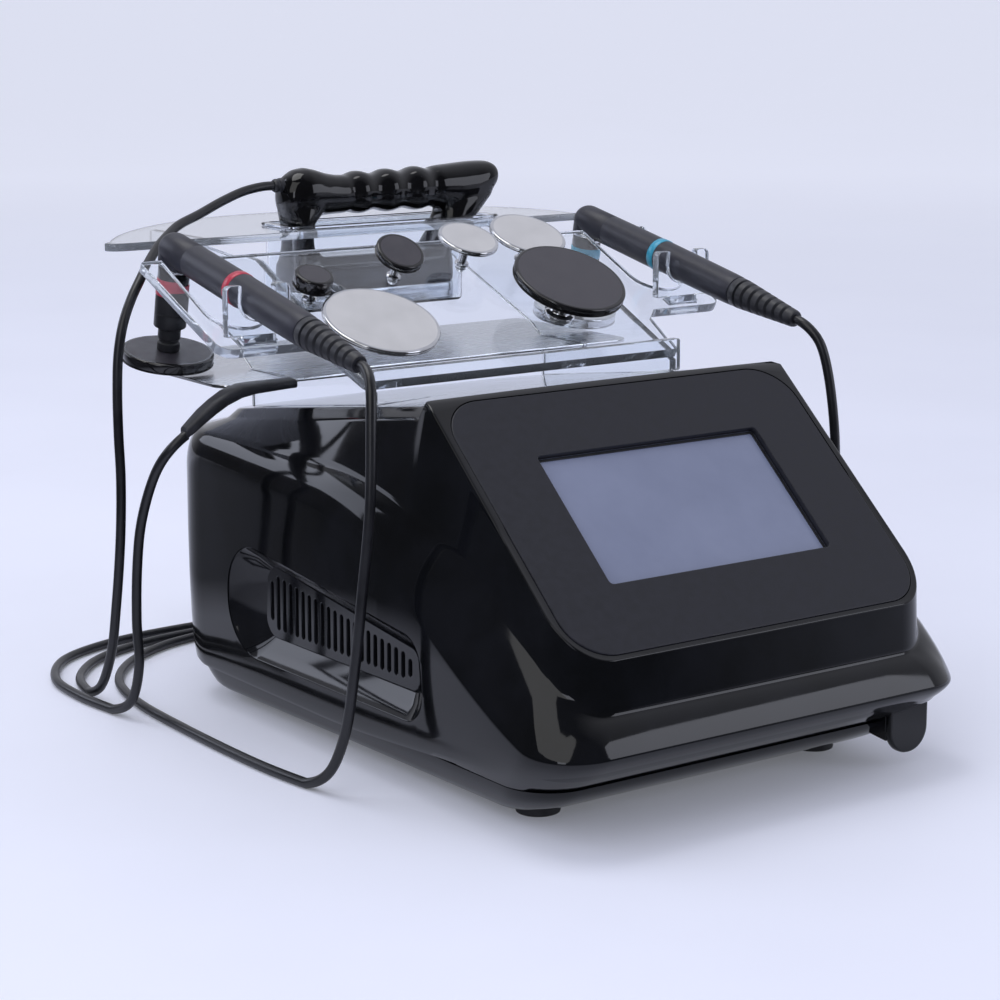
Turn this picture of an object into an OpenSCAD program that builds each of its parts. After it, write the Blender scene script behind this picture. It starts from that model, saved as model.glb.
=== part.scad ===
// Table-top facial toning unit: a radio-frequency generator with a sloping touch screen and a clear
// stand on its roof that carries two corded handpieces, an iron-shaped applicator, spare electrodes
// and a return plate. Millimetres, +Z up, the front of the unit faces -Y.
// Y is laid out from the middle of the screen, and the whole is shifted at the end so that the
// origin lies on the table under the middle of its outline.

/* [Housing] */
// Widest width of the housing
housing_w = 302; // [296:1:320]
// Length from the middle of the screen to the front edge of the skirt
housing_front = 82; // [80:1:90]
// Length from the middle of the screen to the back of the housing
housing_rear = 338; // [334:1:350]
// Height of the joint between the base and the top shell
seam_z = 28; // [26:1:32]
// Height of the skirt's lower edge at the front
skirt_z = 53; // [50:1:58]
// Height of the side crease at the back
side_crease_z = 150; // [146:1:154]
// Height of the upper crease at the front, where the screen tub starts
tub_z = 72; // [69:1:76]
// Height of the upper crease at the back
roof_crease_z = 172; // [168:1:176]
// Height of the roof right behind the screen
roof_z = 216; // [212:1:218]
// Fall of the roof toward the back, as a slope
roof_fall = 0.14; // [0.12:0.01:0.16]
// Wall thickness of the moulded shells
wall = 3; // [2.5:0.1:3.5]
// Width of the base at its foot
base_w = 274; // [268:1:280]

/* [Screen] */
// Height of the middle of the screen above the table
screen_z = 160.5; // [158:0.5:163]
// Slope of the screen from the level
screen_tilt = 41; // [39:1:43]
// Width of the bezel plate
bezel_w = 245; // [240:1:248]
// Length of the bezel plate along its slope
bezel_l = 175; // [172:1:177]
// Thickness of the bezel plate
bezel_t = 4; // [3:0.5:5]
// Corner radius of the bezel plate
bezel_r = 26; // [20:1:30]
// Width of the window in the bezel plate
window_w = 156; // [150:1:160]
// Length of the window along the slope
window_l = 89; // [85:1:94]
// Width of the glossy rim round the bezel plate
rim = 5; // [4:0.5:6]
// Thickness of the display module with its glass
display_t = 9; // [7:1:12]

/* [Feet and hook] */
// Diameter of a rubber foot
foot_d = 25; // [20:1:30]
// Height of a rubber foot below the base
foot_h = 8; // [6:1:10]
// Distance of the feet from the middle plane
foot_x = 100; // [92:1:104]
// Width of the hook's tongue
hook_w = 29; // [24:1:32]

/* [Stand] */
// Thickness of the clear sheet the stand is cut from
sheet = 6; // [5:0.5:7]
// Slope of the tray from the level
tray_tilt = 25.5; // [24:0.5:27]
// Width of the tray across its wings at the front
tray_w = 370; // [364:1:374]
// Width of the tray at its back edge
tray_back_w = 380; // [376:1:384]
// Width of the middle part of the tray
tray_mid_w = 240; // [236:1:250]
// Distance of the wings' front edge from the middle of the screen
wing_y = 191; // [188:1:196]
// Height of the tray's upper face at the wings' front edge
wing_z = 238; // [236:1:240]
// Distance of the back edge of the tray
tray_back_y = 282; // [278:1:283]
// Distance of the front rail
rail_y = 145; // [142:1:150]
// Height of the rail's upper edge above the tray
rail_lip = 7; // [4:1:9]
// Height of the shelf's upper face
shelf_z = 285.5; // [284:0.5:288]
// Thickness of the shelf
shelf_t = 5; // [4:0.5:6]
// Distance of the front edge of the shelf
shelf_front = 347; // [347:1:350]
// Distance of the back of the round shelf
shelf_rear = 476; // [470:1:480]
// Width of the shelf
shelf_w = 366; // [360:1:372]
// Distance of a cheek from the middle plane
cheek_x = 110; // [106:0.5:111]
// Thickness of a cheek
cheek_t = 5; // [4:0.5:6]

/* [Handpieces] */
// Distance of a handpiece from the middle plane
tool_x = 157; // [155:0.5:158]
// Distance of the neck of a handpiece
neck_y = 302; // [300:1:303]
// Height of a handpiece's axis over its neck
head_z = 283; // [282:0.5:284]
// Slope of a resting handpiece
tool_tilt = 12; // [11:0.5:13]
// Diameter of the grip
grip_d = 26; // [24:0.5:27]
// Length of the grip from the neck to the strain relief
grip_l = 172; // [166:1:178]
// Length of the ribbed strain relief
relief_l = 46; // [42:1:50]
// Diameter of the neck
neck_d = 19.5; // [18:0.5:20]
// Diameter of the lower neck
stem_d = 14; // [12:0.5:16]
// Length of the neck from the grip's axis to the electrode
neck_l = 62; // [60:1:64]
// Diameter of the electrode that is fitted to a handpiece
fitted_d = 57; // [50:1:58]
// Thickness of an electrode disc
disc_t = 5.5; // [4.5:0.5:6]
// Distance of the fork that carries the grip
fork_y = 200; // [198:1:202]
// Width of the fork
fork_w = 44; // [42:1:46]
// Rise of the prongs over the grip's axis
prong_rise = 11; // [8:1:12]

/* [Iron] */
// Distance of the iron from the middle plane
iron_x = 28; // [24:1:30]
// Distance of the iron's middle
iron_y = 380; // [379:1:384]
// Length of the iron's base
iron_l = 124; // [118:1:126]
// Depth of the iron
iron_d = 38; // [34:1:40]
// Height of the iron's underside
iron_z = 229; // [228:1:231]
// Height of the metal sole
sole_h = 11; // [9:1:12]
// Height of the bar over the sole
bar_h = 25; // [23:1:26]
// Height of the finger gap
gap_h = 27; // [25:1:29]
// Thickness of the grip over the gap
iron_grip_h = 32; // [30:1:34]
// Wall of the clear pocket that holds the iron
pocket_wall = 2; // [1.5:0.5:2.5]

/* [Spare electrodes] */
// Diameter of the holes for thick stems, one of them free
big_hole_d = 17; // [16:0.5:18]
// Diameter of a thick stem
big_stem_d = 16; // [14:0.5:16]
// Diameter of a thin pin
pin_d = 5; // [4:0.5:6]
// Clearance all round a pin in its hole
pin_gap = 0.4; // [0.3:0.1:0.6]

/* [Return plate] */
// Width of the return plate
plate_w = 310; // [300:2:316]
// Depth of the return plate
plate_l = 130; // [120:2:140]
// Thickness of the return plate
plate_t = 2; // [1.5:0.5:3]
// Height of the return plate's underside
plate_z = 207; // [206:0.5:208]
// Distance of the return plate's front edge
plate_y = 240; // [238:1:244]

/* [Rear connections] */
// Width of the rear panel
panel_w = 220; // [214:1:224]
// Height of the rear panel
panel_h = 82; // [78:1:86]
// Height of the rear panel's lower edge
panel_z = 47; // [46:1:52]
// Diameter of an output socket
socket_d = 16; // [14:1:18]
// Distance between the output sockets
socket_pitch = 32; // [30:1:33]
// Size of the cooling fan
fan_w = 60; // [56:1:62]
// Depth of the cooling fan
fan_l = 16; // [14:1:20]

/* [Cords] */
// Diameter of an applicator cord
cord_d = 6; // [5:0.5:7]

/* [Hidden] */
$fn = 64;
fit = 0.3;                                   // running clearance between separate pieces
eps = 0.01;
shift_y = (shelf_rear - housing_front) / 2;  // middle of the outline, front to back
half_w = housing_w / 2;
arc_n = 6;                                   // steps round a corner of a lofted ring
side_n = 14;                                 // steps along a side of a lofted ring

// ---- outlines -------------------------------------------------------------------------------
function unit(v) = v / norm(v);

// The arc that rounds the corner b between a and c
function corner(a, b, c, r, n = 8) =
    let (u = unit(a - b), v = unit(c - b), h = acos(u * v) / 2, o = b + unit(u + v) * r / sin(h),
         s = b + u * r / tan(h) - o, e = b + v * r / tan(h) - o, w = 180 - 2 * h)
    [for (i = [0:n]) o + (s * sin(w * (1 - i / n)) + e * sin(w * i / n)) / sin(w)];

// A polygon with each corner rounded by its own radius
function rounded(pts, radii, n = 8) =
    let (m = len(pts))
    [for (i = [0:m - 1]) each corner(pts[(i + m - 1) % m], pts[i], pts[(i + 1) % m], radii[i], n)];

function box_points(w, l) = [[-w / 2, -l / 2], [w / 2, -l / 2], [w / 2, l / 2], [-w / 2, l / 2]];
function round_box(w, l, r, n = 8) = rounded(box_points(w, l), [r, r, r, r], n);

module round_plate(w, l, r, t) { linear_extrude(t) polygon(round_box(w, l, r)); }

// ---- lofted shells --------------------------------------------------------------------------
// Right half of a ring, from the front to the back: front, rear, half widths there, corner radii
function half_ring(f, r, wf, wr, rf, rr) = concat(
    [for (i = [0:arc_n]) let (a = 90 * i / arc_n - 90) [wf - rf + rf * cos(a), f + rf + rf * sin(a)]],
    [for (i = [1:side_n - 1]) let (t = i / side_n) [wf + (wr - wf) * t, (f + rf) * (1 - t) + (r - rr) * t]],
    [for (i = [0:arc_n]) let (a = 90 * i / arc_n) [wr - rr + rr * cos(a), r - rr + rr * sin(a)]]);

// A ring is [front, rear, front half width, rear half width, front radius, rear radius, height(y)]
function ring_points(g, inset, drop) =
    let (h = half_ring(g[0] + inset, g[1] - inset, g[2] - inset, g[3] - inset,
                       max(g[4] - inset, 2), max(g[5] - inset, 2)))
    concat([for (p = h) [p[0], p[1], g[6](p[1]) - drop]],
           [for (i = [len(h) - 1:-1:0]) [-h[i][0], h[i][1], g[6](h[i][1]) - drop]]);

// A solid through the rings, inset all round, its upper rings dropped and its first ring kept
module loft(rings, inset = 0, drop = 0, first_drop = 0) {
    k = len(rings);
    m = 2 * (2 * arc_n + side_n + 1);
    pts = [for (i = [0:k - 1]) each ring_points(rings[i], inset, i == 0 ? first_drop : drop)];
    top = (k - 1) * m;
    polyhedron(pts, concat(
        [for (i = [0:k - 2], j = [0:m - 1]) let (a = i * m + j, b = i * m + (j + 1) % m)
            each [[a, a + m, b + m], [a, b + m, b]]],
        [for (j = [0:m / 2 - 2]) let (a = j, b = j + 1, c = m - 2 - j, d = m - 1 - j)
            each [[a, b, c], [a, c, d], [top + a, top + c, top + b], [top + a, top + d, top + c]]]));
}

function smooth(t) = let (s = min(max(t, 0), 1)) s * s * (3 - 2 * s);
function bezel_plane(y) = screen_z + y * tan(screen_tilt);
function roof(y) = roof_z - (y - 72) * roof_fall;
function low_crease(y) = skirt_z + (side_crease_z - skirt_z) * smooth((y + 75) / 225);
function high_crease(y) = let (t = min(max((y + 68) / 225, 0), 1))
    roof_crease_z - (roof_crease_z - tub_z) * (1 - t) * (1 - t);
function shoulder(y) = min(bezel_plane(y) - 8, roof(y));

tub_front = housing_front - 14;
tub_rear = bezel_l / 2 * cos(screen_tilt) + rim - 1;
tub_half = bezel_w / 2 + rim;
crease_half = tub_half + 1;

base_ring = [-tub_front + 48, housing_rear - 16, base_w / 2 - 11, base_w / 2, 22, 36,
             function(y) foot_h];
seam_ring = [-housing_front + 32, housing_rear - 6, half_w - 12, half_w - 6, 30, 42,
             function(y) seam_z];
HOOD = [
    seam_ring,
    [-housing_front + 8, housing_rear, half_w - 4, half_w - 1, 34, 45, function(y) seam_z + 16],
    [-housing_front, housing_rear, half_w - 3, half_w, 34, 45, function(y) low_crease(y)],
    [-housing_front + 6, housing_rear - 1, half_w - 10, half_w - 2, 30, 45,
     function(y) (low_crease(y) + high_crease(y)) / 2 + 2],
    [-housing_front + 13, housing_rear - 4, crease_half, half_w - 7, 27, 44,
     function(y) high_crease(y)],
    [-housing_front + 18, housing_rear - 10, tub_half - 2, half_w - 25, 26, 44,
     function(y) shoulder(y) - 6],
    [-housing_front + 22, housing_rear - 20, tub_half - 8, half_w - 33, 22, 38,
     function(y) shoulder(y)]
];

// ---- frames ---------------------------------------------------------------------------------
module on_screen() { translate([0, 0, screen_z]) rotate([screen_tilt, 0, 0]) children(); }
module on_tray() { translate([0, wing_y, wing_z]) rotate([tray_tilt, 0, 0]) children(); }
module on_tool(side) {
    translate([side * tool_x, neck_y, head_z]) rotate([tool_tilt, 0, 0]) children();
}
module on_side(side) { translate([side * half_w, 0, 0]) rotate([90, 0, 90]) children(); }
module facing_back() { rotate([-90, 0, 0]) children(); }
module both_sides() { for (s = [-1, 1]) scale([s, 1, 1]) children(); }

// ---- housing --------------------------------------------------------------------------------
post_x = 108;
posts = [[-post_x, 96], [post_x, 96], [-post_x, 280], [post_x, 280]];
post_d = 11;
screw_d = 4;
feet = [[-foot_x, 2], [foot_x, 2], [-foot_x - 4, housing_rear - 42], [foot_x + 4, housing_rear - 42]];
stud_d = 8;

module base_shell() {
    color("#17181c") difference() {
        union() {
            difference() {
                loft([base_ring, seam_ring]);
                loft([base_ring, seam_ring], wall, -1, -wall);
            }
            for (p = posts) translate([p.x, p.y, foot_h]) cylinder(d = post_d, h = seam_z - foot_h);
            for (p = feet) translate([p.x, p.y, foot_h]) cylinder(d = stud_d + 6, h = wall + 4);
        }
        for (p = posts) translate([p.x, p.y, foot_h]) {
            translate([0, 0, -1]) cylinder(d = screw_d + 0.4, h = seam_z);
            translate([0, 0, -1]) cylinder(d = 2 * screw_d + 1, h = 5);
        }
        for (p = feet) translate([p.x, p.y, foot_h - 1]) cylinder(d = stud_d + 0.4, h = wall + 8);
        for (i = [0:6]) translate([-45 + 15 * i, 150, foot_h - 1]) cube([5, 60, wall + 2]);
    }
}

module tub(inset, top_drop) {
    half = tub_half - inset;
    difference() {
        translate([0, 0, tub_z - 6]) linear_extrude(bezel_plane(tub_rear) - tub_z + 12)
            polygon(rounded([[-half, -tub_front + inset], [half, -tub_front + inset],
                             [half, tub_rear - inset], [-half, tub_rear - inset]],
                            [26, 26, 24, 24] - inset * [1, 1, 1, 1]));
        on_screen() translate([-200, -200, -top_drop]) cube([400, 400, 300]);
    }
}

// The vent in each side: the mouth of its recess and the grille at the bottom
vent_mouth = [[40, 45], [258, 43], [254, 116], [44, 94]];
vent_floor = [[60, 60], [230, 57], [226, 101], [62, 82]];
vent_depth = 12;
module vent_funnel(grow) {
    hull() {
        translate([0, 0, 2]) linear_extrude(1) polygon(rounded(
            [vent_mouth[0] - grow * [1, 1], vent_mouth[1] + grow * [1, -1],
             vent_mouth[2] + grow * [1, 1], vent_mouth[3] + grow * [-1, 1]], [20, 32, 32, 18]));
        translate([0, 0, -vent_depth]) linear_extrude(1) polygon(rounded(
            [vent_floor[0] - grow * [1, 1], vent_floor[1] + grow * [1, -1],
             vent_floor[2] + grow * [1, 1], vent_floor[3] + grow * [-1, 1]], [8, 12, 12, 8]));
    }
}

module panel_hole(grow) {
    translate([0, 0, panel_z + panel_h / 2]) facing_back()
        linear_extrude(60, center = true) polygon(round_box(panel_w + 2 * grow, panel_h + 2 * grow, 6));
}

module top_shell() {
    color("#17181c") difference() {
        union() {
            difference() {
                union() { loft(HOOD); tub(0, 0); }
                loft(HOOD, wall, wall, 1);
                tub(wall, bezel_t + 3);
            }
            intersection() {
                loft(HOOD);
                union() {
                    for (p = posts) translate([p.x, p.y, seam_z]) cylinder(d = post_d, h = 200);
                    translate([0, housing_rear - 5 - wall, 0]) difference() {
                        panel_hole(5);
                        translate([-200, -100, 0]) cube([400, 100, 200]);
                    }
                }
            }
        }
        on_screen() {
            translate([0, 0, -bezel_t]) round_plate(bezel_w + fit, bezel_l + fit, bezel_r, 40);
            translate([0, 0, -30]) round_plate(bezel_w - 12, bezel_l - 12, bezel_r - 6, 40);
        }
        translate([0, housing_rear - 30 - wall, 0]) panel_hole(-4);
        translate([0, housing_rear + 30 - wall, 0]) panel_hole(fit / 2);
        for (s = [-1, 1]) on_side(s) vent_funnel_side(s, fit);
        for (p = posts) translate([p.x, p.y, seam_z - 1]) cylinder(d = screw_d - 0.6, h = 16);
    }
}

// The funnel points inward on both sides
module vent_funnel_side(s, grow) { scale([1, 1, s]) vent_funnel(grow); }

module vent_grille(side) {
    slot_n = 22;
    slot_w = 3.4;
    pitch = (vent_floor[1].x - vent_floor[0].x - 10) / slot_n;
    color("#202126") intersection() {
        loft(HOOD);
        on_side(side) scale([1, 1, side]) difference() {
            vent_funnel(0);
            translate([0, 0, 2]) vent_funnel(-2);
            translate([0, 0, -vent_depth - 1]) linear_extrude(8) intersection() {
                polygon(rounded([vent_floor[0] + [4, 5], vent_floor[1] + [-4, 5],
                                 vent_floor[2] - [4, 5], vent_floor[3] + [4, -5]], [3, 5, 5, 3]));
                for (i = [0:slot_n - 1]) translate([vent_floor[0].x + 8 + pitch * i, 0])
                    square([slot_w, 200]);
            }
        }
    }
}

module bezel_panel() {
    color("#2e2f38") on_screen() translate([0, 0, -bezel_t]) difference() {
        round_plate(bezel_w - fit, bezel_l - fit, bezel_r, bezel_t);
        translate([0, 0, -1]) round_plate(window_w, window_l, 2, bezel_t + 2);
    }
}

module touch_screen() {
    color("#767d96") on_screen() translate([0, 0, -bezel_t - display_t]) {
        round_plate(window_w + 10, window_l + 10, 2, display_t);
    }
}

module rubber_feet() {
    color("#141414") for (p = feet) translate([p.x, p.y, 0]) {
        rotate_extrude() polygon([[2.5, 0], [foot_d / 2 - 1.5, 0], [foot_d / 2, 1.2],
            [foot_d / 2 - 1, foot_h], [stud_d / 2, foot_h], [stud_d / 2, foot_h + wall + 3], [2.5, foot_h + wall + 3]]);
    }
}

module shell_screws() {
    color("silver") for (p = posts) translate([p.x, p.y, foot_h + 1]) {
        cylinder(d = 2 * screw_d, h = 3);
        cylinder(d = screw_d - 0.6, h = seam_z - foot_h + 10);
    }
}

// A tongue that hangs below the skirt in front of the base, with a web back to the base
hook_x = 118;
hook_y = -housing_front + 27;
module front_hook() {
    tongue_t = 5;
    color("#17181c") difference() {
        union() {
            translate([hook_x, hook_y, 0]) rotate([90, 0, 0]) linear_extrude(tongue_t)
                polygon(rounded([[-hook_w / 2, 9], [hook_w / 2, 9], [hook_w / 2, 42], [-hook_w / 2, 42]],
                                [14, 14, 1.5, 1.5]));
            translate([hook_x - hook_w / 2, hook_y, 0]) rotate([90, 0, 90]) linear_extrude(5)
                polygon([[-1, 17], [30, 20], [30, 34], [4, 38], [-1, 40]]);
        }
        loft([base_ring, seam_ring], -fit);
        loft([HOOD[0], HOOD[1], HOOD[2]], -fit);
    }
}

// ---- rear connections -----------------------------------------------------------------------
panel_y = housing_rear - wall;
socket_z = panel_z + 20;
socket_x = [for (i = [0:3]) -68 + socket_pitch * i];
inlet_at = [-58, panel_z + 60];
switch_at = [-12, panel_z + 60];
fan_at = [74, panel_z + panel_h / 2];
inlet_size = [28, 20];
switch_size = [20, 14];

module back_at(p, y) { translate([p.x, y, p.y]) children(); }

module rear_panel() {
    color("#25262b") difference() {
        translate([0, panel_y, panel_z + panel_h / 2]) facing_back()
            linear_extrude(wall) polygon(round_box(panel_w - fit, panel_h - fit, 6));
        for (x = socket_x) back_at([x, socket_z], panel_y - 1) facing_back()
            cylinder(d = socket_d - 2, h = wall + 2);
        back_at(inlet_at, panel_y) cube([inlet_size.x + fit, 20, inlet_size.y + fit], center = true);
        back_at(switch_at, panel_y) cube([switch_size.x + fit, 20, switch_size.y + fit], center = true);
        back_at(fan_at, panel_y - 1) facing_back() for (i = [0:5])
            linear_extrude(wall + 2) difference() {
                circle(r = 7 + 4 * i);
                circle(r = 4.6 + 4 * i);
                for (a = [0:45:135]) rotate(a) square([80, 3], center = true);
            }
        for (sx = [-1, 1], sz = [-1, 1]) back_at(fan_at + [sx, sz] * (fan_w / 2 - 5), panel_y - 1)
            facing_back() cylinder(d = 3.4, h = wall + 2);
    }
}

module output_sockets() {
    color("#3a3b40") for (x = socket_x) back_at([x, socket_z], panel_y - 14) facing_back() difference() {
        union() {
            cylinder(d = socket_d - 2 - fit, h = 14 + wall);
            translate([0, 0, 14 + wall]) cylinder(d = socket_d, h = 2);
            translate([0, 0, 8]) cylinder(d = socket_d + 2, h = 6);
        }
        translate([0, 0, 6]) cylinder(d = socket_d - 6, h = 20);
    }
}

module mains_inlet() {
    w = inlet_size.x;
    h = inlet_size.y;
    color("#101012") back_at(inlet_at, panel_y) difference() {
        union() {
            translate([-w / 2, -20, -h / 2]) cube([w, 20 + wall, h]);
            translate([-w / 2 - 3, wall, -h / 2 - 3]) cube([w + 6, 2, h + 6]);
        }
        translate([-w / 2 + 2, -15, -h / 2 + 2]) cube([w - 4, 40, h - 4]);
        translate([-w, -18, -1.5]) cube([2 * w, 5, 3]);
    }
    color("silver") back_at(inlet_at, panel_y) for (i = [-1:1])
        translate([7 * i - 1, -18, i == 0 ? 1 : -4]) cube([2, 14, 4]);
}

rocker_tilt = 8;
module power_switch() {
    w = switch_size.x - 5;
    h = switch_size.y - 4;
    color("#0f0f10") back_at(switch_at, panel_y + 1) rotate([0, 90, 0]) rotate(rocker_tilt)
        linear_extrude(w, center = true)
            polygon([[-h / 2, -5], [h / 2, -5], [h / 2, 3.5], [0, 2], [-h / 2, 3.5]]);
    color("#0f0f10") back_at(switch_at, panel_y) rotate([0, 90, 0])
        cylinder(d = 3, h = switch_size.x - 3, center = true);
}

module switch_frame() {
    w = switch_size.x;
    h = switch_size.y;
    color("#101012") back_at(switch_at, panel_y) difference() {
        union() {
            translate([-w / 2, -14, -h / 2]) cube([w, 14 + wall, h]);
            translate([-w / 2 - 2, wall, -h / 2 - 2]) cube([w + 4, 1.5, h + 4]);
        }
        translate([-w / 2 + 2, -11, -h / 2 + 1]) cube([w - 4, 40, h - 2]);
        rotate([0, 90, 0]) cylinder(d = 3.4, h = w - 2, center = true);
    }
}

module cooling_fan() {
    color("#1a1a1c") back_at(fan_at, panel_y - fan_l) difference() {
        translate([-fan_w / 2, 0, -fan_w / 2]) cube([fan_w, fan_l, fan_w]);
        translate([0, -1, 0]) facing_back() cylinder(d = fan_w - 4, h = fan_l + 2);
        for (sx = [-1, 1], sz = [-1, 1]) translate([sx, 0, sz] * (fan_w / 2 - 5) + [0, -1, 0])
            facing_back() cylinder(d = 3.4, h = fan_l + 2);
    }
    color("#1a1a1c") back_at(fan_at, panel_y - fan_l) difference() {
        union() {
            for (a = [45:90:315]) rotate([0, a, 0]) translate([0, 0, -1.5]) cube([fan_w / 2 - 1.9, 2, 3]);
            facing_back() cylinder(d = 20, h = 2);
            facing_back() cylinder(d = 5, h = 5);
        }
    }
}

module fan_rotor() {
    blades = 7;
    reach = fan_w / 2 - 3.5;
    color("#26262a") back_at(fan_at, panel_y - fan_l + 2.5) facing_back() difference() {
        union() {
            cylinder(d = 24, h = fan_l - 4);
            for (i = [0:blades - 1]) rotate(360 / blades * i) translate([10, 0, (fan_l - 4) / 2])
                rotate([35, 0, 0]) translate([0, -6.5, -0.8]) cube([reach - 10, 13, 1.6]);
        }
        translate([0, 0, -1]) cylinder(d = 5.4, h = 5);
    }
}

module power_supply() {
    color("#b9bcc0") translate([-96, 190, foot_h + wall]) {
        difference() {
            cube([110, 90, 38]);
            translate([1.2, 1.2, 1.2]) cube([107.6, 87.6, 50]);
            for (i = [0:7]) translate([14 + 11 * i, -1, 8]) cube([5, 92, 20]);
        }
    }
    color("#2b5d3a") translate([-94, 192, foot_h + wall + 5]) cube([106, 86, 1.6]);
    color("#2b5d3a") for (x = [-90, 6], y = [196, 274]) translate([x, y, foot_h + wall + 1.2])
        cylinder(d = 5, h = 3.8);
}

module rf_board() {
    color("#1f4f7a") translate([20, 130, foot_h + wall]) {
        translate([0, 0, 8]) cube([80, 130, 1.6]);
        for (x = [5, 75], y = [5, 125]) translate([x, y, 0]) cylinder(d = 6, h = 8);
    }
    color("#b87333") for (y = [150, 180]) translate([46, y, foot_h + wall + 9.6])
        cylinder(d = 22, h = 14);
}

module heat_sink() {
    fins = 8;
    color("#a9acb0") translate([64, 142, foot_h + wall + 9.6]) {
        cube([32, 106, 3]);
        for (i = [0:fins - 1]) translate([(32 - 1.6) / (fins - 1) * i, 0, 2.9]) cube([1.6, 106, 26]);
    }
}

// ---- the clear stand ------------------------------------------------------------------------
function tray_top(y) = wing_z + (y - wing_y) * tan(tray_tilt);
sheet_drop = sheet / cos(tray_tilt);
tray_back_v = (tray_back_y - wing_y) / cos(tray_tilt);
tray_front_v = (rail_y + sheet - wing_y) / cos(tray_tilt);
slot_w = 36;
slot_y = fork_y + 30;
fork_t = 6;
tab_w = 22;

// Spare electrodes: place along and up the tray, height of the disc over it, diameter, stem
SILVER = [[-80, 1, 6, 72, "big"], [68, 70, 15, 50, "pin"], [22, 70, 15, 39, "pin"]];
BLACK = [[56, 5, 22, 72, "big"], [-34, 62, 18, 40, "pin"], [-103, 46, 12, 22, "pin"]];
free_hole = [-82, 54];

module tray_sheet() {
    fw = tray_w / 2;
    bw = tray_back_w / 2;
    mw = tray_mid_w / 2;
    translate([0, 0, -sheet]) linear_extrude(sheet) polygon(rounded(
        [[-mw + 6, tray_front_v], [mw - 6, tray_front_v], [mw, -8], [mw + 8, 0], [fw, 0], [bw, tray_back_v],
         [-bw, tray_back_v], [-fw, 0], [-mw - 8, 0], [-mw, -8]],
        [2, 2, 3, 3, 10, 5, 5, 10, 3, 3]));
}

module grip_slot(side) {
    translate([side * tool_x, slot_y, 150]) {
        cylinder(d = slot_w, h = 250);
        translate([-slot_w / 2, 0, 0]) cube([slot_w, 200, 250]);
    }
}

module stand_tray() {
    color("#e8eef4", 0.4) difference() {
        on_tray() difference() {
            tray_sheet();
            for (e = concat(SILVER, BLACK)) translate([e[0], e[1], -sheet - 1])
                cylinder(d = e[4] == "big" ? big_hole_d : pin_d + 2 * pin_gap, h = sheet + 2);
            translate([free_hole.x, free_hole.y, -sheet - 1]) cylinder(d = big_hole_d, h = sheet + 2);
        }
        for (s = [-1, 1]) {
            grip_slot(s);
            translate([s * tool_x - tab_w / 2 - fit, fork_y - fork_t / 2 - fit, 150])
                cube([tab_w + 2 * fit, fork_t + 2 * fit, 200]);
        }
    }
}

module stand_rail() {
    w = tray_mid_w - 14;
    bottom = roof(rail_y) + fit;
    top = tray_top(rail_y + sheet) + rail_lip;
    color("#e8eef4", 0.4) translate([0, rail_y + sheet - eps, (top + bottom) / 2]) rotate([90, 0, 0])
        linear_extrude(sheet - fit) polygon(round_box(w, top - bottom, 1.5, 4));
}

// One side wall of the stand: it stands on the roof, carries the tray and the shelf, and is
// slotted from the back for the return plate
cheek_rear = shelf_front + 74;
slot_gap = 0.3;
module stand_cheeks() {
    y0 = rail_y + sheet + fit;
    y1 = housing_rear - 50;
    under = tray_top(y0) - sheet_drop;
    back = tray_top(tray_back_y) - sheet_drop;
    color("#e8eef4", 0.4) difference() {
        for (s = [-1, 1]) translate([s * cheek_x - cheek_t / 2, 0, 0]) rotate([90, 0, 90])
            linear_extrude(cheek_t) difference() {
                polygon([[y0, roof(y0)], [y1, roof(y1)], [y1, plate_z - slot_gap],
                    [y1 + 14, plate_z + plate_t + 8], [cheek_rear, shelf_z - shelf_t - 16],
                    [cheek_rear, shelf_z - shelf_t], [shelf_front + 4, shelf_z - shelf_t],
                    [tray_back_y - 2, back - 2 * tan(tray_tilt)], [y0, under]]);
                translate([plate_y - fit, plate_z - slot_gap]) square([400, plate_t + 2 * slot_gap]);
            }
        pocket_body(pocket_wall + 0.5, shelf_z + 9);
    }
}

module shelf_outline() {
    w = shelf_w / 2;
    depth = shelf_rear - shelf_front;
    n = 40;
    polygon(concat([[-w, shelf_front], [w, shelf_front]],
        [for (i = [1:n - 1]) let (a = 180 * i / n)
            [w * pow(abs(cos(a)), 0.8) * sign(cos(a)), shelf_front + depth * pow(sin(a), 0.8)]]));
}

// The pocket follows the iron: straight walls, and a right end that leans out under the nose
pocket_z = iron_z - pocket_wall;
pocket_gap = 2;
nose_lean = 24;
module pocket_side(g) {
    x0 = iron_x - iron_l / 2 - pocket_gap - g;
    x1 = iron_x + iron_l / 2 + pocket_gap + g;
    polygon([[x0, iron_z - g], [x1, iron_z - g], [x1, shelf_z - nose_lean],
             [x1 + nose_lean + 4, shelf_z + 4], [x0, shelf_z + 4]]);
}
module pocket_plan(g) {
    over = nose_lean + 4;
    translate([iron_x + over / 2, iron_y]) polygon(round_box(
        iron_l + over + 2 * pocket_gap + 2 * g, iron_d + 2 * pocket_gap + 2 * g, 5 + g));
}
module pocket_body(g, top) {
    intersection() {
        translate([0, iron_y + 50, 0]) rotate([90, 0, 0]) linear_extrude(100) pocket_side(g);
        translate([0, 0, iron_z - g]) linear_extrude(top - iron_z + g) pocket_plan(g);
    }
}

module stand_shelf() {
    color("#e8eef4", 0.4) difference() {
        translate([0, 0, shelf_z - shelf_t]) linear_extrude(shelf_t) shelf_outline();
        translate([0, 0, shelf_z - shelf_t - 1]) linear_extrude(shelf_t + 2) pocket_plan(pocket_wall + fit);
    }
}

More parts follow.
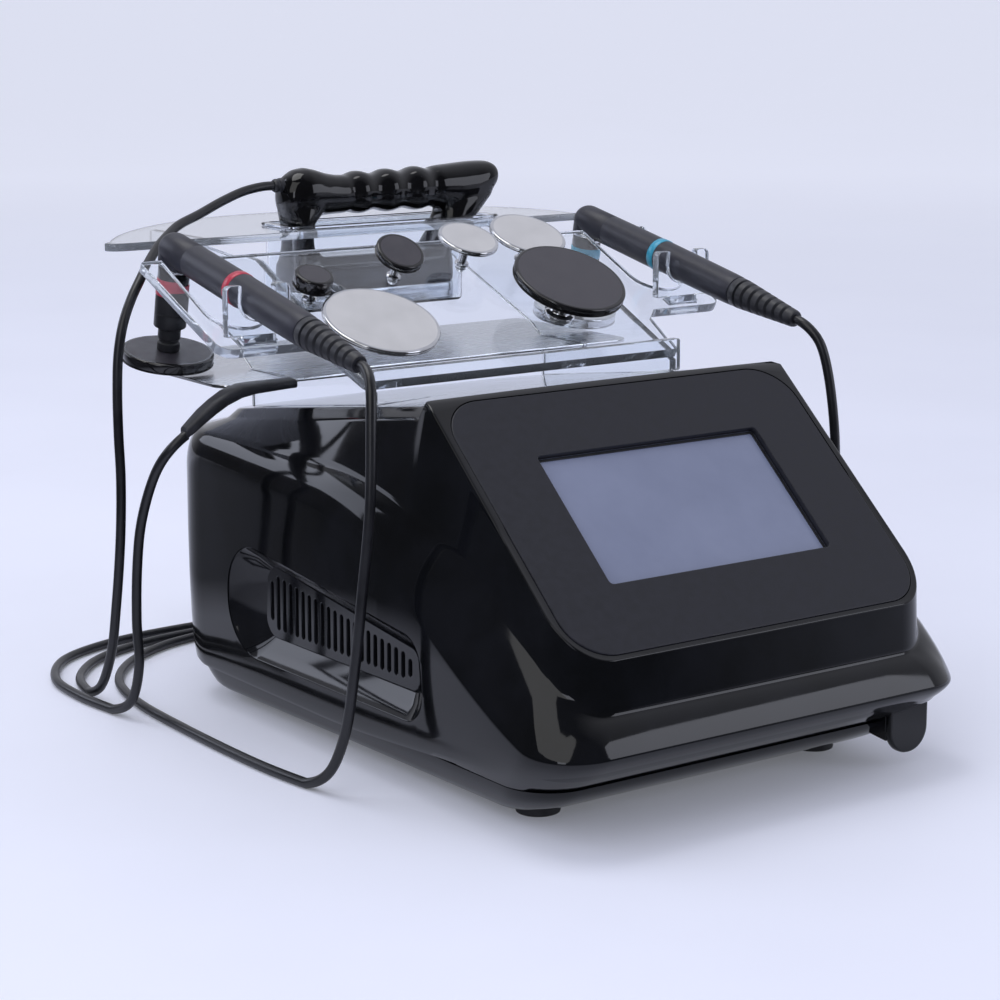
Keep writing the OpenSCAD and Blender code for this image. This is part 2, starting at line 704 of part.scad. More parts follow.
// A clear moulded pocket that hangs in the shelf by its rim
module iron_pocket() {
    color("#e8eef4", 0.4) difference() {
        union() {
            pocket_body(pocket_wall, shelf_z + eps);
            translate([0, 0, shelf_z]) linear_extrude(2) pocket_plan(pocket_wall + 3);
        }
        pocket_body(0, shelf_z + 3);
        translate([0, 0, shelf_z - eps]) linear_extrude(5) pocket_plan(0);
    }
}

function tool_axis_z(y) = head_z + (y - neck_y) * tan(tool_tilt);

module fork(side) {
    axis_z = tool_axis_z(fork_y);
    top = axis_z + prong_rise;
    notch_r = grip_d / 2 / cos(tool_tilt) + fork_t / 2 * tan(tool_tilt) + 2 * fit;
    color("#e8eef4", 0.4) difference() {
        translate([side * tool_x, fork_y + fork_t / 2, 0]) rotate([90, 0, 0]) linear_extrude(fork_t)
            difference() {
                polygon(rounded([[-fork_w / 2, 220], [fork_w / 2, 220], [fork_w / 2, top], [-fork_w / 2, top]],
                                [1, 1, 5, 5]));
                translate([0, axis_z]) circle(r = notch_r);
                translate([-notch_r, axis_z]) square([2 * notch_r, 40]);
            }
        for (s = [-1, 1]) translate([side * tool_x, 0, 0]) scale([s, 1, 1])
            translate([tab_w / 2, wing_y, wing_z]) rotate([tray_tilt, 0, 0]) translate([0, -50, -60])
                cube([40, 100, 60]);
        on_tray() translate([side * tool_x - 40, -50, -sheet - 62]) cube([80, 100, 60]);
    }
}

// ---- handpieces -----------------------------------------------------------------------------
band_y = 85;      // the colour band on the grip, ahead of the neck
band_w = 6;
collar_z = grip_d / 2 - 1;

// The grip lies along -Y of its own frame, its round head over the neck
module handpiece_grip(side) {
    color("#3c3c42") on_tool(side) difference() {
        union() {
            rotate([90, 0, 0]) rotate_extrude() polygon(concat(
                [[0, -17]],
                [for (a = [0:15:90]) [sin(a) * (grip_d / 2), 1 - 18 * cos(a) + 0]],
                [[grip_d / 2 + 0.3, 60], [grip_d / 2 - 0.3, 130], [grip_d / 2 - 2, grip_l],
                 [6, grip_l + 1], [0, grip_l + 1]]));
            translate([0, 0, -collar_z - 2]) cylinder(d = neck_d + 1.5, h = collar_z + 2);
        }
        rotate([90, 0, 0]) translate([0, 0, band_y]) rotate_extrude()
            translate([grip_d / 2 - 0.8, 0]) square([5, band_w]);
        translate([0, 0, -collar_z - 2 - eps]) cylinder(d = 8, h = 3);
    }
}

// Two colour bands: one let into the grip, one on the neck
module handpiece_bands(side, shade) {
    color(shade) on_tool(side) {
        rotate([90, 0, 0]) translate([0, 0, band_y + 0.1]) difference() {
            cylinder(d = grip_d + 0.6, h = band_w - 0.2);
            translate([0, 0, -1]) cylinder(d = grip_d - 1.6, h = band_w + 2);
        }
        translate([0, 0, -28]) difference() {
            cylinder(d = neck_d + 0.4, h = 7);
            translate([0, 0, -1]) cylinder(d = neck_d - 1.6, h = 9);
        }
    }
}

module handpiece_neck(side) {
    top = -collar_z - 2;
    color("#1c1c20") on_tool(side) rotate_extrude() polygon([
        [0, top], [neck_d / 2 + 0.4, top], [neck_d / 2 + 0.4, top - 2.5], [neck_d / 2, top - 3],
        [neck_d / 2, -20.9], [neck_d / 2 - 0.9, -20.9], [neck_d / 2 - 0.9, -28.1], [neck_d / 2, -28.1],
        [neck_d / 2, -44], [stem_d / 2, -46], [stem_d / 2, -54], [stem_d / 2 - 1, -55],
        [stem_d / 2 - 1, -56], [stem_d / 2, -57], [stem_d / 2, -neck_l], [0, -neck_l]]);
}

module handpiece_relief(side) {
    ribs = 6;
    pitch = relief_l / ribs;
    r0 = grip_d / 2 - 2.4;
    r1 = cord_d / 2 + 2.6;
    color("#33343a") on_tool(side) rotate([90, 0, 0]) translate([0, 0, grip_l + 1]) rotate_extrude()
        polygon(concat([[0, 0]],
            [for (i = [0:ribs - 1]) let (t = i / ribs, r = r0 * (1 - t) + r1 * t)
                each [[r, i * pitch], [r - 0.2, (i + 0.7) * pitch], [r - 1.4, (i + 0.72) * pitch],
                      [r - 1.4, (i + 0.98) * pitch]]],
            [[r1 - 0.6, relief_l], [0, relief_l]]));
}

module disc_profile(d, t) {
    polygon([[0, 0], [d / 2 - 1.2, 0], [d / 2 - 0.3, 0.4], [d / 2, 1.3], [d / 2, t - 1.3],
             [d / 2 - 0.3, t - 0.4], [d / 2 - 1.2, t], [0, t]]);
}

module fitted_electrode(side, shade) {
    color(shade) on_tool(side) translate([0, 0, -neck_l - disc_t]) rotate_extrude()
        disc_profile(fitted_d, disc_t);
}

// ---- spare electrodes -----------------------------------------------------------------------
module spare_electrode(e, shade) {
    rise = e[2];
    stem = e[4] == "big" ? big_stem_d : pin_d;
    color(shade) on_tray() translate([e[0], e[1], 0]) {
        translate([0, 0, rise]) rotate_extrude() disc_profile(e[3], disc_t);
        translate([0, 0, fit]) cylinder(d = stem + 4, h = rise - fit + eps);
        translate([0, 0, -sheet - 2]) cylinder(d = stem, h = sheet + 3);
    }
}

// ---- iron -----------------------------------------------------------------------------------
bar_z = iron_z + sole_h;
gap_z = bar_z + bar_h;
grip_z = gap_z + gap_h;
iron_top = grip_z + iron_grip_h;
heel_x = iron_x - iron_l / 2;
toe_x = iron_x + iron_l / 2;
nose_x = toe_x + 44;
iron_cord_z = grip_z + 21;

// Side view of the handle: a bar, two waisted posts and a grip with three finger swells
module iron_side() {
    wave = [for (i = [0:24]) let (t = i / 24) [toe_x - 2 - t * 76, grip_z + 1.2 * cos(t * 1080)]];
    top = [for (i = [0:24]) let (t = i / 24)
        [heel_x + 44 + t * 68, iron_top - 4.5 - 1.2 * cos(t * 1080) + 1.5 * smooth(t)]];
    difference() {
        polygon(concat(
            [[heel_x, bar_z], [toe_x, bar_z], [toe_x, gap_z - 7], [toe_x + 2, gap_z], [toe_x + 6, gap_z + 6],
             [toe_x + 14, gap_z + 13], [toe_x + 30, grip_z - 1]],
            [for (a = [-35:25:90]) [nose_x - 8 + 8 * cos(a), iron_top - 9 + 8 * sin(a)]],
            [for (i = [24:-1:0]) top[i]],
            [[heel_x + 26, iron_top - 2.5]],
            [for (a = [80:20:180]) [heel_x + 14 + 16 * cos(a), iron_top - 17 + 17 * sin(a)]],
            [[heel_x - 3, grip_z + 4], [heel_x + 1, grip_z - 6], [heel_x + 5, gap_z + 14], [heel_x + 4, gap_z + 4],
             [heel_x, gap_z - 8]]));
        polygon(concat(
            [for (a = [180:22.5:270]) [heel_x + 29 + 13 * cos(a), gap_z + 11 + 11 * sin(a)]],
            [for (a = [270:22.5:360]) [toe_x - 18 + 12 * cos(a), gap_z + 13 + 12 * sin(a)]],
            [[toe_x - 4, grip_z - 8]], wave,
            [for (a = [90:22.5:180]) [heel_x + 32 + 15 * cos(a), grip_z - 11 + 11 * sin(a)]]));
    }
}

module iron_handle() {
    color("#101013") intersection() {
        translate([0, iron_y + 50, 0]) rotate([90, 0, 0]) linear_extrude(100) iron_side();
        translate([-200, iron_y, 0]) rotate([90, 0, 90]) linear_extrude(500)
            polygon(rounded([[-iron_d / 2, bar_z], [iron_d / 2, bar_z], [iron_d / 2 - 2, gap_z],
                             [iron_d / 2 - 3, iron_top], [-iron_d / 2 + 3, iron_top], [-iron_d / 2 + 2, gap_z]],
                            [1, 1, 30, 13, 13, 30]));
        translate([(heel_x + nose_x) / 2 - 2, iron_y, bar_z])
            round_plate(nose_x - heel_x + 4, iron_d, 9, iron_top - bar_z);
    }
}

module iron_sole() {
    color("#c6c8cc") translate([iron_x, iron_y, iron_z]) {
        round_plate(iron_l, iron_d, 9, sole_h);
    }
}

module iron_relief() {
    color("#101013") translate([heel_x - 2, iron_y, iron_cord_z]) rotate([0, -90, 0]) rotate_extrude()
        polygon([[0, -1], [6, -1], [5.6, 3], [4.8, 4], [5, 6], [cord_d / 2 + 0.8, 10], [0, 10]]);
}

// ---- return plate ---------------------------------------------------------------------------
plate_x = -5;
module return_plate() {
    color("#b9bdc2") translate([plate_x, plate_y + plate_l / 2, plate_z])
        round_plate(plate_w, plate_l, 12, plate_t);
}

// The flat connector clipped on the front edge of the plate, and its tapered tail
module plate_boot() {
    boot_x = -cheek_x - cheek_t / 2 - 1;
    tail_x = plate_x - plate_w / 2 - 28;
    color("#17181b") difference() {
        translate([0, plate_y + 4, 0]) rotate([90, 0, 0]) linear_extrude(14) polygon(rounded(
            [[boot_x, plate_z - 2.5], [boot_x, plate_z + 3.3], [plate_x - plate_w / 2 + 12, plate_z + 3.3],
             [tail_x, plate_z - 20], [tail_x + 5, plate_z - 28], [plate_x - plate_w / 2 + 14, plate_z - 5.5]],
            [1, 1, 20, 2, 2, 24]));
        translate([plate_x - plate_w / 2 - fit, plate_y - fit, plate_z - fit / 2])
            cube([plate_w, plate_l, plate_t + fit]);
    }
}

// ---- cords ----------------------------------------------------------------------------------
// A tube swept along a smooth curve through hand-picked points
function spline(p, i, t) =
    let (n = len(p), a = p[max(i - 1, 0)], b = p[i], c = p[min(i + 1, n - 1)], d = p[min(i + 2, n - 1)])
    0.5 * (2 * b + (c - a) * t + (2 * a - 5 * b + 4 * c - d) * t * t + (3 * b - a - 3 * c + d) * t * t * t);
function curve(p, per) = concat([for (i = [0:len(p) - 2], j = [0:per - 1]) spline(p, i, j / per)], [p[len(p) - 1]]);
function turn_frame(u, t) = unit(u - (u * t) * t);
function frames(c, i, u) = i >= len(c) ? [] :
    let (t = unit(c[min(i + 1, len(c) - 1)] - c[max(i - 1, 0)]), v = turn_frame(u, t))
    concat([[c[i], v, cross(t, v)]], frames(c, i + 1, v));

module tube(route, d, per = 1, sides = 8) {
    c = curve(route, per);
    f = frames(c, 0, abs(unit(c[1] - c[0]).z) > 0.9 ? [1, 0, 0] : [0, 0, 1]);
    n = len(f);
    pts = [for (g = f, k = [0:sides - 1]) let (a = 360 * k / sides) g[0] + d / 2 * (cos(a) * g[1] + sin(a) * g[2])];
    polyhedron(pts, concat(
        [[for (k = [0:sides - 1]) sides - 1 - k]],
        [for (i = [0:n - 2], k = [0:sides - 1]) let (a = i * sides + k, b = i * sides + (k + 1) % sides)
            each [[a, b, b + sides], [a, b + sides, a + sides]]],
        [[for (k = [0:sides - 1]) (n - 1) * sides + k]]));
}

// The rest of each cord is wound into a flat coil behind the unit: middle of the coil
coil_r = 31;
coil_layers = 2;
red_coil_at = [-38, 396];
teal_coil_at = [46, 396];
plate_coil_at = [2, 482];
iron_coil_at = [80, 482];
plug_end = 376;
lie = cord_d / 2 + 0.2;

RED_ROUTE = [[-157, 87.3, 237.4], [-157, 83, 236.4], [-159, 76, 232], [-162, 70, 224], [-164, 66, 208], [-168, 62, 165],
    [-171, 66, 120], [-173, 72, 75], [-176, 79, 36], [-180, 90, 13], [-184, 108, lie], [-189, 150, lie],
    [-191, 240, lie], [-188, 310, lie], [-176, 358, lie], [-150, 394, lie], [-110, 420, lie],
    [-62, 430, lie]];
TEAL_ROUTE = [[157, 87.3, 237.4], [157, 83, 236.4], [159, 76, 232], [162, 70, 224], [164, 66, 208], [168, 62, 165],
    [171, 66, 120], [173, 72, 75], [176, 79, 36], [180, 90, 13], [184, 108, lie], [190, 160, lie],
    [192, 240, lie], [188, 310, lie], [170, 347, lie], [130, 361, lie], [68, 362, lie]];
IRON_ROUTE = [[-46.4, 380, 313], [-52, 380, 313], [-64, 377.5, 311], [-80, 371, 306.5], [-100, 362, 299.5], [-120, 353, 293.5],
    [-137, 347, 290], [-151, 341, 283], [-165, 334, 274], [-178, 324, 266], [-190, 311, 257],
    [-195, 302, 240], [-199, 295, 218], [-200, 291, 190], [-200, 290, 150], [-200, 294, 115],
    [-202, 304, 70], [-203, 312, 36], [-204, 326, 12], [-203, 346, lie], [-194, 378, lie],
    [-168, 410, lie], [-126, 431, lie], [-70, 439, lie], [10, 439, lie], [60, 447, lie]];
PLATE_ROUTE = [[-185.9, 237, 182.8], [-189.8, 237, 180.3], [-195, 239, 175], [-199, 245, 166], [-201, 254, 152],
    [-203, 265, 126], [-203, 272, 98], [-203, 275, 64], [-203, 274, 36], [-205, 282, 13],
    [-208, 302, lie], [-212, 340, lie], [-208, 384, lie], [-184, 424, lie], [-140, 446, lie],
    [-80, 453, lie], [-18, 449, lie]];
RED_END = [[-68, plug_end, 67], [-68, 386, 67], [-69, 402, 59], [-70, 411, 43], [-71, 409, 25],
    [-72, 398, 12]];
TEAL_END = [[28, plug_end, 67], [28, 386, 67], [25, 402, 59], [20, 411, 43], [15, 409, 25],
    [12, 398, 12]];
PLATE_END = [[-36, plug_end, 67], [-36, 386, 67], [-36, 406, 56], [-35, 420, 38], [-33, 438, 20],
    [-32, 462, 11]];
IRON_END = [[-4, plug_end, 67], [-4, 386, 67], [4, 408, 57], [18, 424, 39], [34, 444, 20],
    [46, 466, 11]];

module cord(route, last) {
    color("#16171a") tube(route, cord_d);
    color("#16171a") tube(last, cord_d);
}

module coil(at) {
    color("#16171a") translate([at.x, at.y, lie - cord_d / 2]) rotate_extrude()
        translate([coil_r - cord_d, 0]) square([2 * cord_d, coil_layers * cord_d]);
}

module plug(i) {
    y0 = panel_y - 6;
    face = panel_y + wall + 2.3;
    color("#202126") translate([socket_x[i], 0, socket_z]) rotate([-90, 0, 0]) rotate_extrude()
        polygon([[0, y0], [socket_d / 2 - 3.3, y0], [socket_d / 2 - 3.3, face], [socket_d / 2 - 1.5, face],
            [socket_d / 2 - 1, face + 1], [socket_d / 2 - 1, face + 8], [socket_d / 2 - 1.8, face + 9],
            [socket_d / 2 - 1.8, face + 16], [5, face + 18], [cord_d / 2 + 1, plug_end], [0, plug_end]]);
}

module place() { translate([0, -shift_y, 0]) children(); }

place() base_shell();
place() top_shell();
place() bezel_panel();
place() touch_screen();
place() vent_grille(-1);  // vent_grille_left
place() vent_grille(1);  // vent_grille_right
place() rear_panel();
place() output_sockets();
place() mains_inlet();
place() switch_frame();
place() power_switch();
place() cooling_fan();
place() fan_rotor();
place() power_supply();
place() rf_board();
place() heat_sink();
place() rubber_feet();
place() shell_screws();
place() front_hook();
place() stand_tray();
place() stand_rail();
place() stand_cheeks();
place() stand_shelf();
place() iron_pocket();
place() fork(-1);  // fork_left
place() fork(1);  // fork_right
place() handpiece_grip(-1);  // red_grip
place() handpiece_bands(-1, "#b8344a");  // red_bands
place() handpiece_neck(-1);  // red_neck
place() handpiece_relief(-1);  // red_relief
place() fitted_electrode(-1, "#1b1b1e");  // red_electrode
place() handpiece_grip(1);  // teal_grip
place() handpiece_bands(1, "#3d9bb8");  // teal_bands
place() handpiece_neck(1);  // teal_neck
place() handpiece_relief(1);  // teal_relief
place() fitted_electrode(1, "#c6c8cc");  // teal_electrode
place() spare_electrode(SILVER[0], "#d2d4d8");  // silver_large
place() spare_electrode(SILVER[1], "#d2d4d8");  // silver_medium
place() spare_electrode(SILVER[2], "#d2d4d8");  // silver_small
place() spare_electrode(BLACK[0], "#2a292c");  // black_large
place() spare_electrode(BLACK[1], "#2a292c");  // black_small
place() spare_electrode(BLACK[2], "#2a292c");  // black_tiny
place() iron_handle();
place() iron_sole();
place() iron_relief();
place() return_plate();
place() plate_boot();
place() plug(0);  // red_plug
place() plug(3);  // teal_plug
place() plug(2);  // iron_plug
place() plug(1);  // plate_plug
place() cord(RED_ROUTE, RED_END);  // red_cord
place() cord(TEAL_ROUTE, TEAL_END);  // teal_cord
place() cord(IRON_ROUTE, IRON_END);  // iron_cord
place() cord(PLATE_ROUTE, PLATE_END);  // plate_cord
place() coil(red_coil_at);  // red_coil
place() coil(teal_coil_at);  // teal_coil
place() coil(iron_coil_at);  // iron_coil
place() coil(plate_coil_at);  // plate_coil
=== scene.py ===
# %% [markdown]
# # A table-top facial toning unit, piece by piece
# The machine is a glossy black moulded housing with a sloping screen. A clear stand on its roof
# carries two corded handpieces, an iron-shaped applicator, spare electrodes and a return plate.
# The engineering model is loaded first and never moved. The pieces made here follow it and give it
# its real surfaces. Some are finer than the model: the handpieces and the spare electrodes stand a
# few millimetres from where it has them, and the shelf's left shoulder is up to 25 mm further in.

# %% Load the engineering model
import math
import bpy
import bmesh
from mathutils import Matrix, Vector
from mathutils.geometry import tessellate_polygon


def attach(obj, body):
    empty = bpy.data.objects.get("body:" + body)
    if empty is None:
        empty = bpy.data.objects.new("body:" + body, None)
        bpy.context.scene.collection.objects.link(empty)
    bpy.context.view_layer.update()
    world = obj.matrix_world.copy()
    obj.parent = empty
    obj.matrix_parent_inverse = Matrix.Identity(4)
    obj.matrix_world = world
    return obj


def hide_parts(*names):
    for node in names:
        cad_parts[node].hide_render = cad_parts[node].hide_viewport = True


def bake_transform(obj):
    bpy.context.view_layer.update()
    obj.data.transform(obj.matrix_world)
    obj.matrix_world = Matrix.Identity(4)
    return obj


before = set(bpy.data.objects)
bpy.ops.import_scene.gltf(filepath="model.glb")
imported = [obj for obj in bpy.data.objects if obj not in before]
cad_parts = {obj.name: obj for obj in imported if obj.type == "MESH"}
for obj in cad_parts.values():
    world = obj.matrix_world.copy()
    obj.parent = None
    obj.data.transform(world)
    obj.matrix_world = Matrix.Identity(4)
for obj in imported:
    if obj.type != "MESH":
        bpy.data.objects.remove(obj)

for spare in ("Cube", "Light", "Camera"):  # what a new Blender file brings along
    if spare in bpy.data.objects:
        bpy.data.objects.remove(bpy.data.objects[spare])
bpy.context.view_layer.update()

# %% [markdown]
# The housing was drawn in millimetres with y counted from the middle of the screen. One matrix turns
# such a drawing place into the row's frame. Tilted groups (screen, tray, handpieces) get their own
# matrix, so a piece can be drawn flat and then laid on its slope.

# %% Drawing frames
SHIFT_Y = 197.0
SCREEN_Z, SCREEN_TILT = 160.5, 41
TRAY_Y, TRAY_Z, TRAY_TILT = 191, 238, 25.5
TOOL_X, NECK_Y, HEAD_Z, TOOL_TILT = 157, 299, 285.3, 12
HOUSE = Matrix.Translation((0, -SHIFT_Y / 1000, 0)) @ Matrix.Scale(0.001, 4)


def moved(x, y, z):
    return Matrix.Translation((x, y, z))


def tilted(degrees, axis="X"):
    return Matrix.Rotation(math.radians(degrees), 4, axis)


SCREEN = HOUSE @ moved(0, 0, SCREEN_Z) @ tilted(SCREEN_TILT)
TRAY = HOUSE @ moved(0, TRAY_Y, TRAY_Z) @ tilted(TRAY_TILT)


def tool_frame(side):
    return HOUSE @ moved(side * TOOL_X, NECK_Y, HEAD_Z) @ tilted(TOOL_TILT)


def side_on(x, y=0, facing=1):
    """A frame for a sheet drawn from the side, as (y, z), that stands upright at x."""
    return HOUSE @ Matrix(((0, 0, facing, x), (1, 0, 0, y), (0, 1, 0, 0), (0, 0, 0, 1)))


def in_row(x, y, z):
    """A drawing place in millimetres, in the row's metres."""
    return HOUSE @ Vector((x, y, z))


print("screen centre in the row:", [round(c, 4) for c in SCREEN.translation])

# %% [markdown]
# The camera comes first, because the cords are judged by what it sees. It is a long lens, about as
# far as a person standing by the machine, looking down a little on its front left corner.

# %% Camera
FOCAL_LENGTH, SENSOR_WIDTH, FARTHEST = 88.33, 36, 600
EYE = (-0.8481, -1.2304, 0.4402)
PAN, DIP, ROLL = -34.94, 11.80, -0.163  # degrees

lens = bpy.data.cameras.new("studio_camera")
lens.lens, lens.sensor_width, lens.clip_end = FOCAL_LENGTH, SENSOR_WIDTH, FARTHEST
camera = bpy.data.objects.new("studio_camera", lens)
bpy.context.collection.objects.link(camera)
camera.matrix_world = (Matrix.Translation(EYE) @ tilted(PAN, "Z") @ tilted(90 - DIP)
                       @ tilted(ROLL, "Z"))
bpy.context.scene.camera = camera
bpy.context.scene.view_settings.view_transform = "Standard"
print("camera at", [round(c, 3) for c in camera.matrix_world.translation])

# %% [markdown]
# Every finish below is a small network of shader nodes. Colours are written as the sRGB hex values
# that a paint or plastics maker would give, and one function turns them into the linear values that
# Blender wants. One more function adds a node with its settings and links, and a few short ones name
# the steps that come back in most networks.

# %% Colour and node helpers
def pigment(hex_code):
    channels = [int(hex_code[i:i + 2], 16) / 255 for i in (1, 3, 5)]
    return [c / 12.92 if c <= 0.04045 else ((c + 0.055) / 1.055) ** 2.4 for c in channels] + [1.0]


def add(tree, kind, settings=None, **links):
    """A node: settings by attribute, links and values by input name (spaces as _) or position."""
    node = tree.nodes.new("ShaderNode" + kind)
    for key, value in (settings or {}).items():
        setattr(node, key, value)
    for key, value in links.items():
        by_position = key[0] == "i" and key[1:].isdigit()
        socket = node.inputs[int(key[1:]) if by_position else key.replace("_", " ")]
        if isinstance(value, bpy.types.NodeSocket):
            tree.links.new(value, socket)
        else:
            socket.default_value = value
    return node


def maths(tree, operation, *values, clamp=False):
    """One step of arithmetic on numbers or sockets."""
    inputs = {"i%d" % i: value for i, value in enumerate(values)}
    return add(tree, "Math", {"operation": operation, "use_clamp": clamp}, **inputs).outputs[0]


def mapped(tree, value, low, high, to_low, to_high):
    """The value, carried from low...high over to to_low...to_high and held there."""
    return add(tree, "MapRange", Value=value, i1=low, i2=high, i3=to_low, i4=to_high).outputs["Result"]


def object_place(tree):
    return add(tree, "TexCoord").outputs["Object"]


def noise(tree, where, scale, detail):
    return add(tree, "TexNoise", Vector=where, Scale=scale, Detail=detail).outputs["Fac"]


def emboss(tree, shader, height, strength, metres):
    bump = add(tree, "Bump", Height=height, Strength=strength, Distance=metres)
    tree.links.new(bump.outputs["Normal"], shader.inputs["Normal"])


def finish_named(name, **surface):
    """A material whose Principled shader has these values; returns it, its nodes and the shader."""
    material = bpy.data.materials.new(name)
    material.use_nodes = True
    tree = material.node_tree
    shader = tree.nodes["Principled BSDF"]
    for key, value in surface.items():
        shader.inputs[key.replace("_", " ")].default_value = value
    return material, tree, shader


def mottle(tree, shader, dark, light, size_mm, rough, bumps_mm=0.0, bump_size_mm=0.5, where=None):
    """Colour that drifts between two shades over size_mm, with uneven gloss and a fine bump."""
    place = where or object_place(tree)
    drift = add(tree, "TexNoise", Vector=place, Scale=1000 / size_mm, Detail=4.0, Roughness=0.6)
    ramp = add(tree, "ValToRGB", Fac=drift.outputs["Fac"])
    for i, (position, shade) in enumerate(((0.35, dark), (0.65, light))):
        stop = ramp.color_ramp.elements[i]
        stop.position, stop.color = position, pigment(shade)
    tree.links.new(ramp.outputs["Color"], shader.inputs["Base Color"])
    gloss = mapped(tree, drift.outputs["Fac"], 0.3, 0.7, *rough)
    tree.links.new(gloss, shader.inputs["Roughness"])
    if bumps_mm:
        emboss(tree, shader, noise(tree, place, 1000 / bump_size_mm, 3.0), 0.5, bumps_mm / 1000)


def mottled(name, dark, light, size_mm, rough, roughness, ior, bumps_mm=0.0, bump_size_mm=0.5):
    """A plain material: its whole look is its mottle."""
    material, tree, shader = finish_named(name, Roughness=roughness, IOR=ior)
    mottle(tree, shader, dark, light, size_mm, rough, bumps_mm, bump_size_mm)
    return material


print("colour helper: #808080 is", [round(c, 3) for c in pigment("#808080")[:3]], "in linear light")

# %% [markdown]
# The housing is ABS, injection-moulded in a polished steel tool. That gives a deep black with a
# mirror-like skin, and on such large mouldings the skin waves very slightly. The waves are drawn
# about 25 mm long, so that reflections bend as they do on the real one.

# %% Moulded plastics
def polished_abs(name, dark, light, wave_mm=0.012):
    material, tree, shader = finish_named(name, Roughness=0.06, IOR=1.46)
    place = object_place(tree)
    mottle(tree, shader, dark, light, 40, (0.045, 0.10), where=place)
    emboss(tree, shader, noise(tree, place, 40.0, 1.0), 0.25, wave_mm / 100)
    return material


HOUSING_ABS = polished_abs("polished_black_abs", "#0a0b0d", "#111216")
IRON_ABS = polished_abs("polished_black_iron_abs", "#09090b", "#0f0f12", wave_mm=0.006)
GRILLE_ABS = polished_abs("polished_grille_abs", "#101114", "#17181c")
BEZEL_PC = mottled("matt_charcoal_polycarbonate", "#171820", "#1f2029", 5, (0.38, 0.55), 0.5, 1.45,
                   0.03, 0.8)
PANEL_ABS = mottled("spark_textured_black_abs", "#17181b", "#222327", 8, (0.42, 0.58), 0.5, 1.53,
                    0.05, 0.9)
GRIP_ABS = mottled("satin_grey_abs", "#282932", "#31323c", 14, (0.38, 0.46), 0.42, 1.48, 0.02, 0.6)
CRIMSON_ABS = mottled("crimson_abs", "#a8283f", "#b83249", 9, (0.25, 0.35), 0.3, 1.53, 0.01)
TEAL_ABS = mottled("teal_abs", "#3090b0", "#3d9fbe", 9, (0.25, 0.35), 0.3, 1.53, 0.01)
NYLON = mottled("moulded_black_nylon", "#1b1c20", "#25262b", 10, (0.38, 0.5), 0.45, 1.53, 0.03, 0.7)
print("plastics:", [m.name for m in (HOUSING_ABS, BEZEL_PC, GRILLE_ABS, PANEL_ABS, GRIP_ABS, NYLON)])

# %% [markdown]
# Soft parts are poured rubber and extruded PVC. Rubber is matt with a fine stipple. The cord's jacket
# has a faint sheen with long, shallow waves from the extruder.

# %% Rubber and cord
RUBBER = mottled("matt_black_rubber", "#1c1d21", "#28292e", 6, (0.55, 0.7), 0.65, 1.52, 0.04, 0.6)
RELIEF_RUBBER = mottled("satin_relief_rubber", "#232429", "#2d2e34", 8, (0.38, 0.5), 0.45, 1.52,
                        0.03, 0.6)
CORD_PVC = mottled("extruded_black_pvc", "#15161a", "#1e1f24", 20, (0.28, 0.4), 0.35, 1.54, 0.03, 3.0)
print("rubber and PVC ready")

# %% [markdown]
# The metals keep the default IOR and take their look from roughness. The electrodes are turned and
# buffed stainless steel: a pale satin face with faint rings from the lathe, and a polished rim. The
# return plate is rolled sheet, brushed along its length, so its grain is stretched noise.

# %% Metals
STEEL_FACE, tree, shader = finish_named("buffed_stainless_steel", Metallic=1.0, Roughness=0.15)
place = object_place(tree)
mottle(tree, shader, "#eae9e8", "#f2f1f0", 25, (0.22, 0.27), where=place)
# real turning marks are 0.1 mm apart; these are coarser, so that they show
rings = add(tree, "TexWave", {"wave_type": "RINGS", "rings_direction": "Z"}, Vector=place, Scale=260.0,
            Distortion=0.6, Detail=2.0)
emboss(tree, shader, rings.outputs["Fac"], 0.15, 0.00002)

STEEL_RIM, tree, shader = finish_named("polished_stainless_steel", Metallic=1.0, Roughness=0.07)
mottle(tree, shader, "#c9cacd", "#dcdde0", 20, (0.05, 0.11))


def brushed(name, dark, light, stretch, rough):
    material, tree, shader = finish_named(name, Metallic=1.0, Roughness=0.3)
    drawn = add(tree, "Mapping", Vector=object_place(tree), Scale=stretch).outputs["Vector"]
    mottle(tree, shader, dark, light, 10, rough, where=drawn)
    emboss(tree, shader, noise(tree, drawn, 1600.0, 2.0), 0.2, 0.00002)
    return material


SOLE_STEEL = brushed("brushed_sole_steel", "#b9bbc0", "#cfd0d4", (0.05, 1, 1), (0.12, 0.25))
PLATE_STEEL = brushed("brushed_plate_steel", "#c9ccd2", "#dadde2", (0.04, 1, 1), (0.2, 0.32))
SHEET_ZINC = brushed("zinc_plated_sheet", "#a9acb0", "#c0c3c8", (1, 0.2, 1), (0.3, 0.5))
FIN_ALUMINIUM = brushed("extruded_aluminium", "#a4a7ab", "#bfc2c6", (1, 0.05, 1), (0.3, 0.45))
SCREW_STEEL = brushed("plated_screw_steel", "#b0b2b6", "#c9cbcf", (1, 1, 1), (0.18, 0.3))
print("metals:", STEEL_FACE.name, STEEL_RIM.name, SOLE_STEEL.name, PLATE_STEEL.name)

# %% [markdown]
# The black electrodes are steel with a hard black coating: a matt grey-brown face, buffed by use, and
# a glossy rolled edge. The screen is a liquid crystal panel under glass, here switched on to a plain
# grey-lavender field. The faces of the acrylic mirror less than real ones do, so that the stand shows
# what is behind it, and its edges are part matt for the light that a sheet pipes to its edge.

